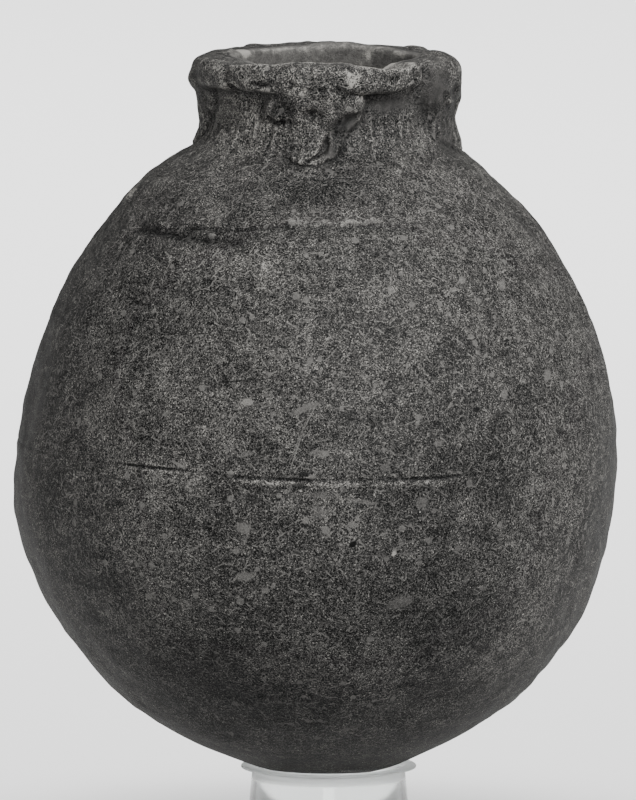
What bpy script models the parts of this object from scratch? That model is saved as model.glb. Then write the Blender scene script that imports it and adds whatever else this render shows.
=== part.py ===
"""A round-bottomed pottery jar with four bulls' heads under its rim, standing in a clear ring.

Units are metres and +Z is up. The origin is on the ground, under the middle of the whole.
The front of the jar, with the head that a viewer sees first, faces -Y.
"""

import math
from typing import NamedTuple

import bmesh
import bpy
from mathutils import Matrix, Vector

MM = 0.001

# The jar's outside. Heights are measured from its lowest point.
BELLY_RADIUS = 150.3 * MM
BELLY_HEIGHT = 148.6 * MM
BASE_ROUNDNESS = 1.84
SHOULDER_RISE = 184.0 * MM
NECK_RADIUS = 57.5 * MM
NECK_FILLET = 25.0 * MM
RIM_HEIGHT = 361.0 * MM
LIP_DEPTH = 13.0 * MM
LIP_OVERHANG = 4.5 * MM
LIP_ARC = math.radians(120.0)

# The jar's wall.
WALL = 9.5 * MM
BASE_WALL = 12.0 * MM
NECK_WALL = 10.0 * MM
MOUTH_RADIUS = 43.5 * MM
MOUTH_DEPTH = 15.5 * MM
NECK_EDGE = 5.0 * MM

# The body's axis stands at BODY_SHIFT in X, because the hand-built belly bulges to the other side.
# The leans are how far the wall strays from that axis towards +X: at the neck, belly and base.
BODY_SHIFT = 1.5 * MM
NECK_LEAN = 3.5 * MM
NECK_LEAN_BAND = 30.0 * MM
BELLY_LEAN = -3.2 * MM
BELLY_LEAN_DROP = 18.0 * MM
BELLY_LEAN_SPREAD = 42.0 * MM
BASE_LEAN = 3.0 * MM
BASE_LEAN_BAND = 18.0 * MM

# The heads. Drops are measured down from the rim, and reliefs outward from the neck's surface.
HEADS_TURN = math.radians(-7.0)
BITE = 5.0 * MM
FACE_SKEW = -0.12

POLL_HALF_WIDTH = 19.0 * MM
POLL_HALF_LENGTH = 13.0 * MM
POLL_HALF_THICKNESS = 9.0 * MM
POLL_TILT = math.radians(30.0)
POLL_RELIEF = 11.3 * MM
POLL_SEGMENTS = 14
POLL_RINGS = 8

FACE_POINTS = 9
FACE_SQUARENESS = 0.55
# The face from the forehead to the chin, as (drop, half width, relief).
FACE_SECTIONS = (
    (7.0 * MM, 17.0 * MM, 8.0 * MM),
    (14.0 * MM, 15.6 * MM, 9.7 * MM),
    (19.0 * MM, 13.4 * MM, 9.0 * MM),
    (25.0 * MM, 11.2 * MM, 7.6 * MM),
    (33.0 * MM, 9.6 * MM, 7.2 * MM),
    (40.0 * MM, 9.0 * MM, 8.0 * MM),
    (44.5 * MM, 8.2 * MM, 9.0 * MM),
    (48.5 * MM, 6.4 * MM, 9.6 * MM),
)

EYE_SPACING = 10.4 * MM
EYE_DROP = 24.0 * MM
EYE_RELIEF = 7.6 * MM
EYE_RADIUS = 3.2 * MM
EYE_DEPTH = 1.8 * MM

HORN_ROOT_RADIUS = 6.9 * MM
HORN_TIP_RADIUS = 5.3 * MM
HORN_RELIEF = 9.2 * MM
HORN_DROP = 6.2 * MM
HORN_TIP_LIFT = 2.4 * MM
HORN_POINTS = 7
# Each horn's blunt end, as shares of its radius at the tip: how far it reaches, and its end's size.
HORN_END_REACH = 0.75
HORN_END_SIZE = 0.55

EAR_ANGLE = math.radians(16.5)
EAR_TILT = math.radians(14.0)
EAR_DROP = 20.0 * MM
EAR_WIDTH = 12.0 * MM
EAR_HEIGHT = 14.0 * MM
EAR_RELIEF = 8.6 * MM
EAR_HOLLOW = 2.4 * MM
EAR_POINTS = 12
# The ear's root and the width of its raised edge, as shares of the whole ear.
EAR_ROOT = 0.64
EAR_EDGE = 0.12

# The clear ring that the jar stands in.
STAND_HEIGHT = 25.4 * MM
SEAT_RADIUS = 38.5 * MM
SEAT_WIDTH = 3.4 * MM
SEAT_GAP = 0.35 * MM
STAND_OFFSET = 1.3 * MM
FLANGE_RADIUS = 43.9 * MM
FLANGE_DROP = 1.3 * MM
FLANGE_EDGE = 0.9 * MM
FLANGE_ROOT = 2.6 * MM
TUBE_RADIUS = 38.2 * MM
FOOT_RADIUS = 40.4 * MM
TUBE_WALL = 3.0 * MM

# How finely the turned shapes are cut. The ring has the jar's steps, so that their facets agree.
TURN_STEPS = 52
BASE_POINTS = 10
SHOULDER_POINTS = 9
FILLET_POINTS = 4
LIP_POINTS = 6
INNER_POINTS = 7
HALVINGS = 50
MERGE = 0.01 * MM
SHARP_EDGE = math.radians(38.0)


class Head(NamedTuple):
    """What differs from head to head: the crown's height above the rim, and each horn's reach."""

    crown: float
    left_horn: float
    right_horn: float


# The heads in their order round the neck: front, right, back and left.
HEADS = (
    Head(2.9 * MM, math.radians(40.0), math.radians(57.0)),
    Head(2.6 * MM, math.radians(31.0), math.radians(49.0)),
    Head(0.8 * MM, math.radians(39.0), math.radians(44.0)),
    Head(2.6 * MM, math.radians(44.0), math.radians(47.0)),
)


def smooth_step(value, start, width):
    """0 below start, 1 above start + width, and an S-curve between them."""
    share = min(1.0, max(0.0, (value - start) / width))
    return share * share * (3.0 - 2.0 * share)


def centre(height):
    """Where the wall's centre stands in X, at this height above the jar's lowest point."""
    neck_foot = RIM_HEIGHT - LIP_DEPTH - NECK_FILLET
    neck = NECK_LEAN * smooth_step(height, neck_foot - NECK_LEAN_BAND, NECK_LEAN_BAND)
    below_belly = height - (BELLY_HEIGHT - BELLY_LEAN_DROP)
    belly = BELLY_LEAN * math.exp(-((below_belly / BELLY_LEAN_SPREAD) ** 2))
    base = BASE_LEAN * (1.0 - smooth_step(height, 0.0, BASE_LEAN_BAND))
    return BODY_SHIFT + neck + belly + base


def base_height(radius):
    """Height of the rounded base above its lowest point, at this distance from its axis."""
    share = (radius / BELLY_RADIUS) ** BASE_ROUNDNESS
    return BELLY_HEIGHT * (1.0 - math.sqrt(1.0 - share))


def base_curve(belly_radius, depth, count):
    """Points of the rounded base from the belly down to the axis, both ends included."""
    points = []
    for step in range(count):
        angle = 0.5 * math.pi * step / count
        radius = belly_radius * math.cos(angle) ** (2.0 / BASE_ROUNDNESS)
        points.append((radius, BELLY_HEIGHT - depth * math.sin(angle)))
    points.append((0.0, BELLY_HEIGHT - depth))
    return points


def shoulder_point(angle, belly_radius, rise):
    """A point of the elliptical shoulder, at this angle above the belly."""
    return (belly_radius * math.cos(angle), BELLY_HEIGHT + rise * math.sin(angle))


def shoulder_normal(angle):
    """The outward direction of the shoulder's outside, as (radial, vertical)."""
    across = SHOULDER_RISE * math.cos(angle)
    up = BELLY_RADIUS * math.sin(angle)
    length = math.hypot(across, up)
    return (across / length, up / length)


def fillet_angle():
    """Where on the shoulder the neck's fillet starts, so that it also touches the neck."""
    low, high = 0.0, 0.5 * math.pi
    for _ in range(HALVINGS):
        angle = 0.5 * (low + high)
        reach = shoulder_point(angle, BELLY_RADIUS, SHOULDER_RISE)[0]
        reach += NECK_FILLET * shoulder_normal(angle)[0]
        if reach > NECK_RADIUS + NECK_FILLET:
            low = angle
        else:
            high = angle
    return 0.5 * (low + high)


def outer_profile():
    """The outside from the top of the lip down to the lowest point."""
    lip_half_width = 0.5 * (NECK_RADIUS + LIP_OVERHANG - MOUTH_RADIUS)
    lip_half_depth = 0.5 * LIP_DEPTH
    points = []
    for step in range(LIP_POINTS + 1):
        angle = 0.5 * math.pi - LIP_ARC * step / LIP_POINTS
        points.append((
            MOUTH_RADIUS + lip_half_width * (1.0 + math.cos(angle)),
            RIM_HEIGHT - lip_half_depth * (1.0 - math.sin(angle)),
        ))
    touch = fillet_angle()
    touch_radius, touch_height = shoulder_point(touch, BELLY_RADIUS, SHOULDER_RISE)
    across, up = shoulder_normal(touch)
    centre_height = touch_height + NECK_FILLET * up
    for step in range(FILLET_POINTS + 1):
        angle = math.atan2(up, across) * step / FILLET_POINTS
        points.append((
            NECK_RADIUS + NECK_FILLET * (1.0 - math.cos(angle)),
            centre_height - NECK_FILLET * math.sin(angle),
        ))
    for step in range(1, SHOULDER_POINTS):
        angle = touch * (1.0 - step / SHOULDER_POINTS)
        points.append(shoulder_point(angle, BELLY_RADIUS, SHOULDER_RISE))
    return points + base_curve(BELLY_RADIUS, BELLY_HEIGHT, BASE_POINTS)


def inner_profile():
    """The inside from its lowest point up to the inner side of the lip."""
    radius = BELLY_RADIUS - WALL
    rise = SHOULDER_RISE - WALL
    bore = NECK_RADIUS - NECK_WALL
    points = base_curve(radius, BELLY_HEIGHT - BASE_WALL, INNER_POINTS)[::-1]
    edge = math.acos((bore + 0.5 * NECK_EDGE) / radius)
    for step in range(1, INNER_POINTS + 1):
        points.append(shoulder_point(edge * step / INNER_POINTS, radius, rise))
    points.append((bore, points[-1][1] + NECK_EDGE))
    points.append((bore, RIM_HEIGHT - MOUTH_DEPTH))
    points.append((MOUTH_RADIUS, RIM_HEIGHT - 0.5 * LIP_DEPTH))
    return points


def new_object(name, data, collection):
    made = bpy.data.objects.new(name, data)
    collection.objects.link(made)
    return made


def turned(name, points, closed, collection):
    """A solid turned round Z from (radius, height) points that run down its outer side."""
    mesh = bpy.data.meshes.new(name)
    edges = [(i, i + 1) for i in range(len(points) - 1)]
    if closed:
        edges.append((len(points) - 1, 0))
    mesh.from_pydata([(radius, 0.0, height) for radius, height in points], edges, [])
    made = new_object(name, mesh, collection)
    screw = made.modifiers.new("turn", "SCREW")
    screw.axis = "Z"
    screw.angle = 2.0 * math.pi
    screw.steps = TURN_STEPS
    screw.render_steps = TURN_STEPS
    screw.use_merge_vertices = True
    screw.merge_threshold = MERGE
    return made


def applied(made):
    """A plain mesh object in place of one with a modifier or a curve's bevel."""
    name = made.name
    graph = bpy.context.evaluated_depsgraph_get()
    mesh = bpy.data.meshes.new_from_object(made.evaluated_get(graph))
    body = bmesh.new()
    body.from_mesh(mesh)
    bmesh.ops.remove_doubles(body, verts=body.verts, dist=MERGE)
    bmesh.ops.recalc_face_normals(body, faces=body.faces)
    body.to_mesh(mesh)
    body.free()
    fresh = new_object(name + "_mesh", mesh, made.users_collection[0])
    fresh.matrix_world = made.matrix_world
    bpy.data.objects.remove(made)
    fresh.name = name
    return fresh


def smoothed(made):
    """Smooth shading, but for edges that turn sharply."""
    made.data.shade_smooth()
    made.data.set_sharp_from_angle(angle=SHARP_EDGE)


def around_neck(angle, relief, drop):
    """A point beside a head's own middle line, in the head's frame, where -Y is outward."""
    radius = NECK_RADIUS + relief
    return Vector((radius * math.sin(angle), -radius * math.cos(angle), RIM_HEIGHT - drop))


def face_angle(across, drop):
    """The angle from a head's middle line to a point of its face, which hangs a little askew."""
    return (across + FACE_SKEW * (drop - EAR_DROP)) / NECK_RADIUS


def make_poll(name, crown, collection):
    """The crown of the head: a rounded swelling that lies over the lip and slopes outward."""
    mesh = bpy.data.meshes.new(name)
    half_sizes = (POLL_HALF_WIDTH, POLL_HALF_LENGTH, POLL_HALF_THICKNESS)
    body = bmesh.new()
    bmesh.ops.create_uvsphere(
        body, u_segments=POLL_SEGMENTS, v_segments=POLL_RINGS, radius=1.0
    )
    bmesh.ops.scale(body, vec=half_sizes, verts=body.verts)
    body.to_mesh(mesh)
    body.free()
    across, up = math.cos(POLL_TILT), math.sin(POLL_TILT)
    reach = math.hypot(POLL_HALF_LENGTH * across, POLL_HALF_THICKNESS * up)
    rise = math.hypot(POLL_HALF_LENGTH * up, POLL_HALF_THICKNESS * across)
    made = new_object(name, mesh, collection)
    made.location = around_neck(0.0, POLL_RELIEF - reach, rise - crown)
    made.rotation_euler.x = POLL_TILT
    return made


def make_face(name, collection):
    """The forehead, nose and chin: a loft of rounded sections that follow the neck."""
    body = bmesh.new()
    loops = []
    for drop, half_width, relief in FACE_SECTIONS:
        loop = []
        for step in range(FACE_POINTS):
            turn = math.pi * (step / (FACE_POINTS - 1) - 0.5)
            angle = face_angle(half_width * math.sin(turn), drop)
            swell = max(0.0, math.cos(turn)) ** FACE_SQUARENESS
            height = -BITE + (relief + BITE) * swell
            loop.append(body.verts.new(around_neck(angle, height, drop)))
        loops.append(loop)
    for upper, lower in zip(loops, loops[1:]):
        for step in range(FACE_POINTS):
            beside = (step + 1) % FACE_POINTS
            body.faces.new((upper[step], lower[step], lower[beside], upper[beside]))
    body.faces.new(loops[0])
    body.faces.new(reversed(loops[-1]))
    bmesh.ops.recalc_face_normals(body, faces=body.faces)
    mesh = bpy.data.meshes.new(name)
    body.to_mesh(mesh)
    body.free()
    return new_object(name, mesh, collection)


def make_eye(name, side, collection):
    """A ball that presses an eye into the face."""
    mesh = bpy.data.meshes.new(name)
    body = bmesh.new()
    bmesh.ops.create_icosphere(body, subdivisions=2, radius=EYE_RADIUS)
    body.to_mesh(mesh)
    body.free()
    made = new_object(name, mesh, collection)
    relief = EYE_RELIEF + EYE_RADIUS - EYE_DEPTH
    made.location = around_neck(face_angle(side * 0.5 * EYE_SPACING, EYE_DROP), relief, EYE_DROP)
    return made


def horn_points(side, reach):
    """The path and thickness of one horn, from its root to its blunt, lifted tip."""
    relief = HORN_RELIEF - HORN_ROOT_RADIUS
    tip = HORN_TIP_RADIUS / (NECK_RADIUS + relief)
    points = []
    for step in range(HORN_POINTS + 1):
        share = min(1.0, step / (HORN_POINTS - 1))
        angle = (reach - tip) * share
        thickness = HORN_ROOT_RADIUS + (HORN_TIP_RADIUS - HORN_ROOT_RADIUS) * share
        if step == HORN_POINTS:
            angle += HORN_END_REACH * tip
            thickness *= HORN_END_SIZE
        drop = HORN_DROP - HORN_TIP_LIFT * share ** 3
        points.append((around_neck(side * angle, relief, drop), thickness))
    return points


def make_horns(name, head, collection):
    """The pair of thick horns, which lie along the rim as one bent roll."""
    curve = bpy.data.curves.new(name, "CURVE")
    curve.dimensions = "3D"
    curve.bevel_depth = 1.0
    curve.bevel_resolution = 3
    curve.use_fill_caps = True
    points = horn_points(-1, head.left_horn)[:0:-1] + horn_points(1, head.right_horn)
    spline = curve.splines.new("POLY")
    spline.points.add(len(points) - 1)
    for corner, (place, thickness) in zip(spline.points, points):
        corner.co = (*place, 1.0)
        corner.radius = thickness
    return applied(new_object(name, curve, collection))


def make_ear(name, side, collection):
    """A round ear with a dished front, below the horn's root."""
    body = bmesh.new()
    bmesh.ops.create_cone(
        body,
        cap_ends=True,
        segments=EAR_POINTS,
        radius1=0.5 * EAR_ROOT,
        radius2=0.5,
        depth=1.0,
    )
    front = max(body.faces, key=lambda face: face.normal.z)
    bmesh.ops.inset_region(body, faces=[front], thickness=EAR_EDGE)
    depth = EAR_RELIEF + BITE
    for corner in body.verts:
        corner.co.x *= EAR_WIDTH
        corner.co.y *= EAR_HEIGHT
        corner.co.z *= depth
    for corner in front.verts:
        corner.co.z -= EAR_HOLLOW
    mesh = bpy.data.meshes.new(name)
    body.to_mesh(mesh)
    body.free()
    made = new_object(name, mesh, collection)
    angle = side * EAR_ANGLE
    place = Matrix.Translation(around_neck(angle, EAR_RELIEF - 0.5 * depth, EAR_DROP))
    outward = Matrix.Rotation(angle, 4, "Z") @ Matrix.Rotation(0.5 * math.pi, 4, "X")
    made.matrix_world = place @ outward @ Matrix.Rotation(side * EAR_TILT, 4, "Z")
    return made


def make_head(index, head, jar_height, lumps, dents):
    """One bull's head as loose pieces, turned to its place round the neck."""
    label = f"head_{index + 1}"
    pieces = [
        make_poll(label + "_poll", head.crown, lumps),
        make_face(label + "_face", lumps),
        make_horns(label + "_horns", head, lumps),
    ]
    for word, side in (("left", -1), ("right", 1)):
        pieces.append(make_ear(f"{label}_{word}_ear", side, lumps))
        pieces.append(make_eye(f"{label}_{word}_eye", side, dents))
    bpy.context.view_layer.update()
    turn = Matrix.Rotation(HEADS_TURN + 2.0 * math.pi * index / len(HEADS), 4, "Z")
    place = Matrix.Translation((centre(RIM_HEIGHT), 0.0, jar_height))
    for piece in pieces:
        piece.matrix_world = place @ turn @ piece.matrix_world
        piece.hide_render = True
        piece.display_type = "WIRE"


def make_vase(jar_height, collection, lumps, dents):
    """The jar: a turned hollow body that strays as a hand-built one does, with its heads on."""
    made = applied(turned("vase", inner_profile() + outer_profile(), False, collection))
    for corner in made.data.vertices:
        corner.co.x += centre(corner.co.z)
        corner.co.z += jar_height
    for index, head in enumerate(HEADS):
        make_head(index, head, jar_height, lumps, dents)
    for operation, tools in (("UNION", lumps), ("DIFFERENCE", dents)):
        change = made.modifiers.new(tools.name, "BOOLEAN")
        change.operation = operation
        change.operand_type = "COLLECTION"
        change.collection = tools
    smoothed(made)
    return made


def make_stand(collection):
    """The clear ring: a seat and a sloping flange on a short tube that widens to its foot."""
    inner_seat = SEAT_RADIUS - SEAT_WIDTH
    seat_fall = base_height(SEAT_RADIUS - STAND_OFFSET) - base_height(inner_seat - STAND_OFFSET)
    flange_height = STAND_HEIGHT - FLANGE_DROP
    root_height = STAND_HEIGHT - FLANGE_ROOT
    points = [
        (SEAT_RADIUS, STAND_HEIGHT),
        (FLANGE_RADIUS, flange_height),
        (FLANGE_RADIUS, flange_height - FLANGE_EDGE),
        (TUBE_RADIUS + 0.5 * TUBE_WALL, root_height - FLANGE_EDGE),
        (TUBE_RADIUS, root_height - FLANGE_EDGE - 0.5 * TUBE_WALL),
        (FOOT_RADIUS, 0.0),
        (FOOT_RADIUS - TUBE_WALL, 0.0),
        (TUBE_RADIUS - TUBE_WALL, root_height - 0.5 * TUBE_WALL),
        (inner_seat, STAND_HEIGHT - seat_fall),
    ]
    made = turned("ring_stand", points, True, collection)
    made.location.x = centre(0.0) + STAND_OFFSET
    smoothed(made)
    return made


def surface(name, colour, roughness, transmission=0.0):
    """A plain non-metal, with its colour given as linear red, green and blue."""
    made = bpy.data.materials.new(name)
    made.use_nodes = True
    shader = made.node_tree.nodes["Principled BSDF"]
    shader.inputs["Base Color"].default_value = (*colour, 1.0)
    shader.inputs["Roughness"].default_value = roughness
    shader.inputs["Metallic"].default_value = 0.0
    shader.inputs["Transmission Weight"].default_value = transmission
    return made


def main():
    for old in list(bpy.data.objects):
        bpy.data.objects.remove(old)
    collection = bpy.data.collections.new("bull_head_jar")
    lumps = bpy.data.collections.new("head_lumps")
    dents = bpy.data.collections.new("eye_dents")
    for made in (collection, lumps, dents):
        bpy.context.scene.collection.children.link(made)
    jar_height = STAND_HEIGHT - base_height(SEAT_RADIUS - STAND_OFFSET) + SEAT_GAP
    vase = make_vase(jar_height, collection, lumps, dents)
    vase.data.materials.append(surface("dark_grey_pottery", (0.09, 0.09, 0.088), 0.6))
    stand = make_stand(collection)
    stand.data.materials.append(surface("clear_acrylic", (0.95, 0.96, 0.96), 0.05, 1.0))


main()
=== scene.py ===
"""The looks of a round-bottomed pottery jar with four bulls' heads, in its clear ring.

The jar's surface is one closed mesh. Its neck, where the heads are, is the zero level of a field
that joins soft lumps of clay. Its body is a turned surface with the potter's marks pressed in.
Lengths are in millimetres, and the finished meshes are scaled to metres.
"""

import math
from typing import NamedTuple

import bpy
import numpy as np
from mathutils import Matrix, Vector


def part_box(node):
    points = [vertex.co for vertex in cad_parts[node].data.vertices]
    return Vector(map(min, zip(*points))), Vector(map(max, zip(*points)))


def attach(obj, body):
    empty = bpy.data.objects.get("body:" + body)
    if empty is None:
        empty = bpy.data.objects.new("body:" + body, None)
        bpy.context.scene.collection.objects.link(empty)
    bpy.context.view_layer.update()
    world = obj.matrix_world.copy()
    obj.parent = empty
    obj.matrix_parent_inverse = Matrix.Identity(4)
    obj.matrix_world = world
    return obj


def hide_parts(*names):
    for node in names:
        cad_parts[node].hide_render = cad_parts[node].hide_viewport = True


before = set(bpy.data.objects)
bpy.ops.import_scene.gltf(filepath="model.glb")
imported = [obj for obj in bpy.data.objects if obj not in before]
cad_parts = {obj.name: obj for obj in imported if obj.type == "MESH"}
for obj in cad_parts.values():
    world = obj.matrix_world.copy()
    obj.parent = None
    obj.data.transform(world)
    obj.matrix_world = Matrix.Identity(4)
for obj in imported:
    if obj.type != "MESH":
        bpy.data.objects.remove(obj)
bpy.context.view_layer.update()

MM = 0.001

# The jar's outline, with heights measured from its lowest point.
BELLY_RADIUS = 150.3
BELLY_HEIGHT = 148.6
BASE_ROUNDNESS = 1.84
SHOULDER_RISE = 184.0
NECK_RADIUS = 57.5
NECK_FILLET = 25.0
RIM_HEIGHT = 361.0
WALL = 9.5
BASE_WALL = 12.0
BORE_RADIUS = 47.5
LIP_RADIUS = 51.2
LIP_HALF = (7.4, 6.1)
LIP_SQUARENESS = 4.0
MOUTH_RADIUS = 44.6
TILE_ROOT = 4.0
CROWN_DEPTH = 10.5
HEAD_REACH = 70.0
JAR_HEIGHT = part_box("vase")[0].z / MM

# How far the hand-built wall's centre stands from the frame's axis, towards +X.
BODY_SHIFT = 1.5
NECK_LEAN = 3.5
NECK_LEAN_TOP = 323.0
NECK_LEAN_BAND = 30.0
BELLY_LEAN = -3.2
BELLY_LEAN_HEIGHT = 130.6
BELLY_LEAN_SPREAD = 42.0
BASE_LEAN = 3.0
BASE_LEAN_BAND = 18.0

# How far the base's middle hangs into the ring, up to which height, and from what radius and over
# what width that dies away.
BASE_SAG = 1.5
BASE_SAG_HEIGHT = 20.0
BASE_SAG_BAND = (30.0, 25.0)

# What counts as the jar's outside: from how deep under the plain outline, and over what width.
OUTSIDE_DEPTH = 8.0
OUTSIDE_FADE = 5.0

# How edges and hollows are found, whose bend lightens edges as wear and painted highlight and
# darkens creases as painted shade: how often their bend is spread to its neighbours, by what share,
# and its limits in 1/mm.
EDGE_ROUNDS = 3
EDGE_SPREAD = 0.6
EDGE_LIMITS = (-0.3, 0.5)

# How what stands proud is found, for painted highlights on raised parts and painted shade in
# hollows: how often the surface is smoothed, by what share, the limits in mm, and from what height
# up and over what width it starts to count.
PROUD_ROUNDS = 30
PROUD_SPREAD = 0.7
PROUD_LIMITS = (-1.4, 0.6)
PROUD_BAND = (292.0, 14.0)

# In how many points the outline is traced: the fillet, the shoulder and the base outside, and the
# shoulder and the base inside. How often the search for the fillet's start is halved.
FILLET_POINTS = 40
SHOULDER_POINTS = (200, 100)
BASE_POINTS = (300, 200)
HALVINGS = 50

# How finely the jar is cut, how far its body's first rings lie from the neck's outer and inner
# end, and how often the neck's corners are settled and how far they may move in one step.
NECK_STEPS = 420
RAY_CELLS = 26
BAND_BOTTOM = 266.0
BAND_STEP = 2.0
BODY_STEP = 4.0
INNER_STEP = 9.0
FIRST_GAPS = (1.0, 1.5)
SETTLE_ROUNDS = 3
SETTLE_REACH = 0.8


def smooth_step(value, start, width):
    """0 below start, 1 above start + width, and an S-curve between them."""
    share = np.clip((value - start) / width, 0.0, 1.0)
    return share * share * (3.0 - 2.0 * share)


def bell(value, middle, spread):
    """1 at the middle, and falling away softly on both sides."""
    return np.exp(-(((value - middle) / spread) ** 2))


def wall_centre(height):
    """Where the wall's centre stands in X at each height."""
    neck = NECK_LEAN * smooth_step(height, NECK_LEAN_TOP - NECK_LEAN_BAND, NECK_LEAN_BAND)
    belly = BELLY_LEAN * bell(height, BELLY_LEAN_HEIGHT, BELLY_LEAN_SPREAD)
    base = BASE_LEAN * (1.0 - smooth_step(height, 0.0, BASE_LEAN_BAND))
    return BODY_SHIFT + neck + belly + base


def shoulder_point(angle, inset=0.0):
    """Radius and height on the elliptical shoulder, or on a wall's inside that is inset from it."""
    radius = (BELLY_RADIUS - inset) * math.cos(angle)
    return radius, BELLY_HEIGHT + (SHOULDER_RISE - inset) * math.sin(angle)


def shoulder_normal(angle):
    """The outward direction of the shoulder, as (radial, vertical)."""
    across = SHOULDER_RISE * math.cos(angle)
    up = BELLY_RADIUS * math.sin(angle)
    length = math.hypot(across, up)
    return across / length, up / length


def fillet_touch():
    """The angle on the shoulder where the neck's fillet starts."""
    low, high = 0.0, 0.5 * math.pi
    for _ in range(HALVINGS):
        angle = 0.5 * (low + high)
        reach = shoulder_point(angle)[0] + NECK_FILLET * shoulder_normal(angle)[0]
        if reach > NECK_RADIUS + NECK_FILLET:
            low = angle
        else:
            high = angle
    return 0.5 * (low + high)


TOUCH_ANGLE = fillet_touch()
TOUCH = shoulder_point(TOUCH_ANGLE)
TOUCH_NORMAL = shoulder_normal(TOUCH_ANGLE)
FILLET_HEIGHT = TOUCH[1] + NECK_FILLET * TOUCH_NORMAL[1]


def base_curve(radius, depth, count):
    """Points of a round base, from its widest ring down to its lowest point."""
    for step in range(1, count + 1):
        angle = 0.5 * math.pi * step / count
        across = radius * max(0.0, math.cos(angle)) ** (2.0 / BASE_ROUNDNESS)
        yield across, BELLY_HEIGHT - depth * math.sin(angle)


def outside_curve():
    """Dense points of the outside from the rim down to the lowest point, as (radius, height)."""
    points = [(NECK_RADIUS, RIM_HEIGHT)]
    for step in range(FILLET_POINTS + 1):
        angle = math.atan2(TOUCH_NORMAL[1], TOUCH_NORMAL[0]) * step / FILLET_POINTS
        radius = NECK_RADIUS + NECK_FILLET * (1.0 - math.cos(angle))
        points.append((radius, FILLET_HEIGHT - NECK_FILLET * math.sin(angle)))
    for step in range(1, SHOULDER_POINTS[0] + 1):
        points.append(shoulder_point(TOUCH_ANGLE * (1.0 - step / SHOULDER_POINTS[0])))
    points += base_curve(BELLY_RADIUS, BELLY_HEIGHT, BASE_POINTS[0])
    return np.array(points)


def inside_curve():
    """Dense points of the inside from the neck's bore down to the lowest point."""
    points = [(BORE_RADIUS, RIM_HEIGHT)]
    edge = math.acos(BORE_RADIUS / (BELLY_RADIUS - WALL))
    for step in range(SHOULDER_POINTS[1] + 1):
        points.append(shoulder_point(edge * (1.0 - step / SHOULDER_POINTS[1]), WALL))
    points += base_curve(BELLY_RADIUS - WALL, BELLY_HEIGHT - BASE_WALL, BASE_POINTS[1])
    return np.array(points)


OUTSIDE = outside_curve()
INSIDE = inside_curve()


def outer_radius(height):
    return np.interp(height, OUTSIDE[::-1, 1], OUTSIDE[::-1, 0])


def soft_union(first, second, blend):
    """The lower of two fields, with the crease between them filled over a width of blend."""
    share = np.clip(0.5 + 0.5 * (second - first) / blend, 0.0, 1.0)
    return second + (first - second) * share - blend * share * (1.0 - share)


def soft_cut(solid, tool, blend):
    """The solid less the tool, with a soft edge."""
    return -soft_union(-solid, tool, blend)


# The heads are modelled on the neck as if it were rolled out flat. A place is (across, drop,
# relief): to the viewer's right of the head's middle, down from the rim, and out from the wall.


class Lump(NamedTuple):
    """A ball of clay, or a ball that presses a hollow, with its three half sizes."""

    at: tuple
    size: tuple
    turn: float = 0.0
    blend: float = 2.0


class Roll(NamedTuple):
    """A roll of clay, or a tool drawn along, through places that each have a radius. Above 2, its
    squareness flattens its front and top."""

    path: tuple
    blend: float = 2.0
    squareness: float = 2.0


class Tile(NamedTuple):
    """A pad of clay with an outline of (across, drop) corners: how thick it is at its edge, how
    much it rises inward, over what width, and how round its edge is."""

    outline: tuple
    thickness: float
    rise: float
    rise_width: float
    edge: float = 1.0
    blend: float = 2.0


class Horn(NamedTuple):
    """A thick horn along the rim. It reaches so many degrees round, and its drop and radius are
    given at its root, at a third and at two thirds of its length, and at its blunt tip."""

    reach: float
    drops: tuple = (6.6, 6.6, 6.4, 5.4)
    radii: tuple = (6.9, 6.6, 6.2, 5.9)
    blend: float = 2.2
    proud: float = 9.2


class Ear(NamedTuple):
    """A cup-shaped ear with its half sizes, and the hollow in it."""

    at: tuple
    size: tuple
    hollow_at: tuple
    hollow_size: tuple


class Head(NamedTuple):
    """What differs from head to head."""

    left_horn: Horn
    right_horn: Horn
    left_ear: Ear
    right_ear: Ear
    crown: float
    skew: float
    face: float
    chin: float
    added: tuple = ()
    pressed: tuple = ()


HEADS_TURN = -7.0
HORN_ROOT = 6.0
HORN_SQUARENESS = 3.2
PAD_OUTLINE = (
    (-20.0, 10.0), (-24.4, 20.0), (-23.6, 30.0), (-20.0, 38.0), (-11.5, 45.2), (-4.0, 49.2),
    (3.0, 50.0), (10.5, 46.5), (14.5, 41.0), (17.0, 34.0), (23.4, 28.0), (25.0, 21.0), (23.0, 12.0),
)

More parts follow.
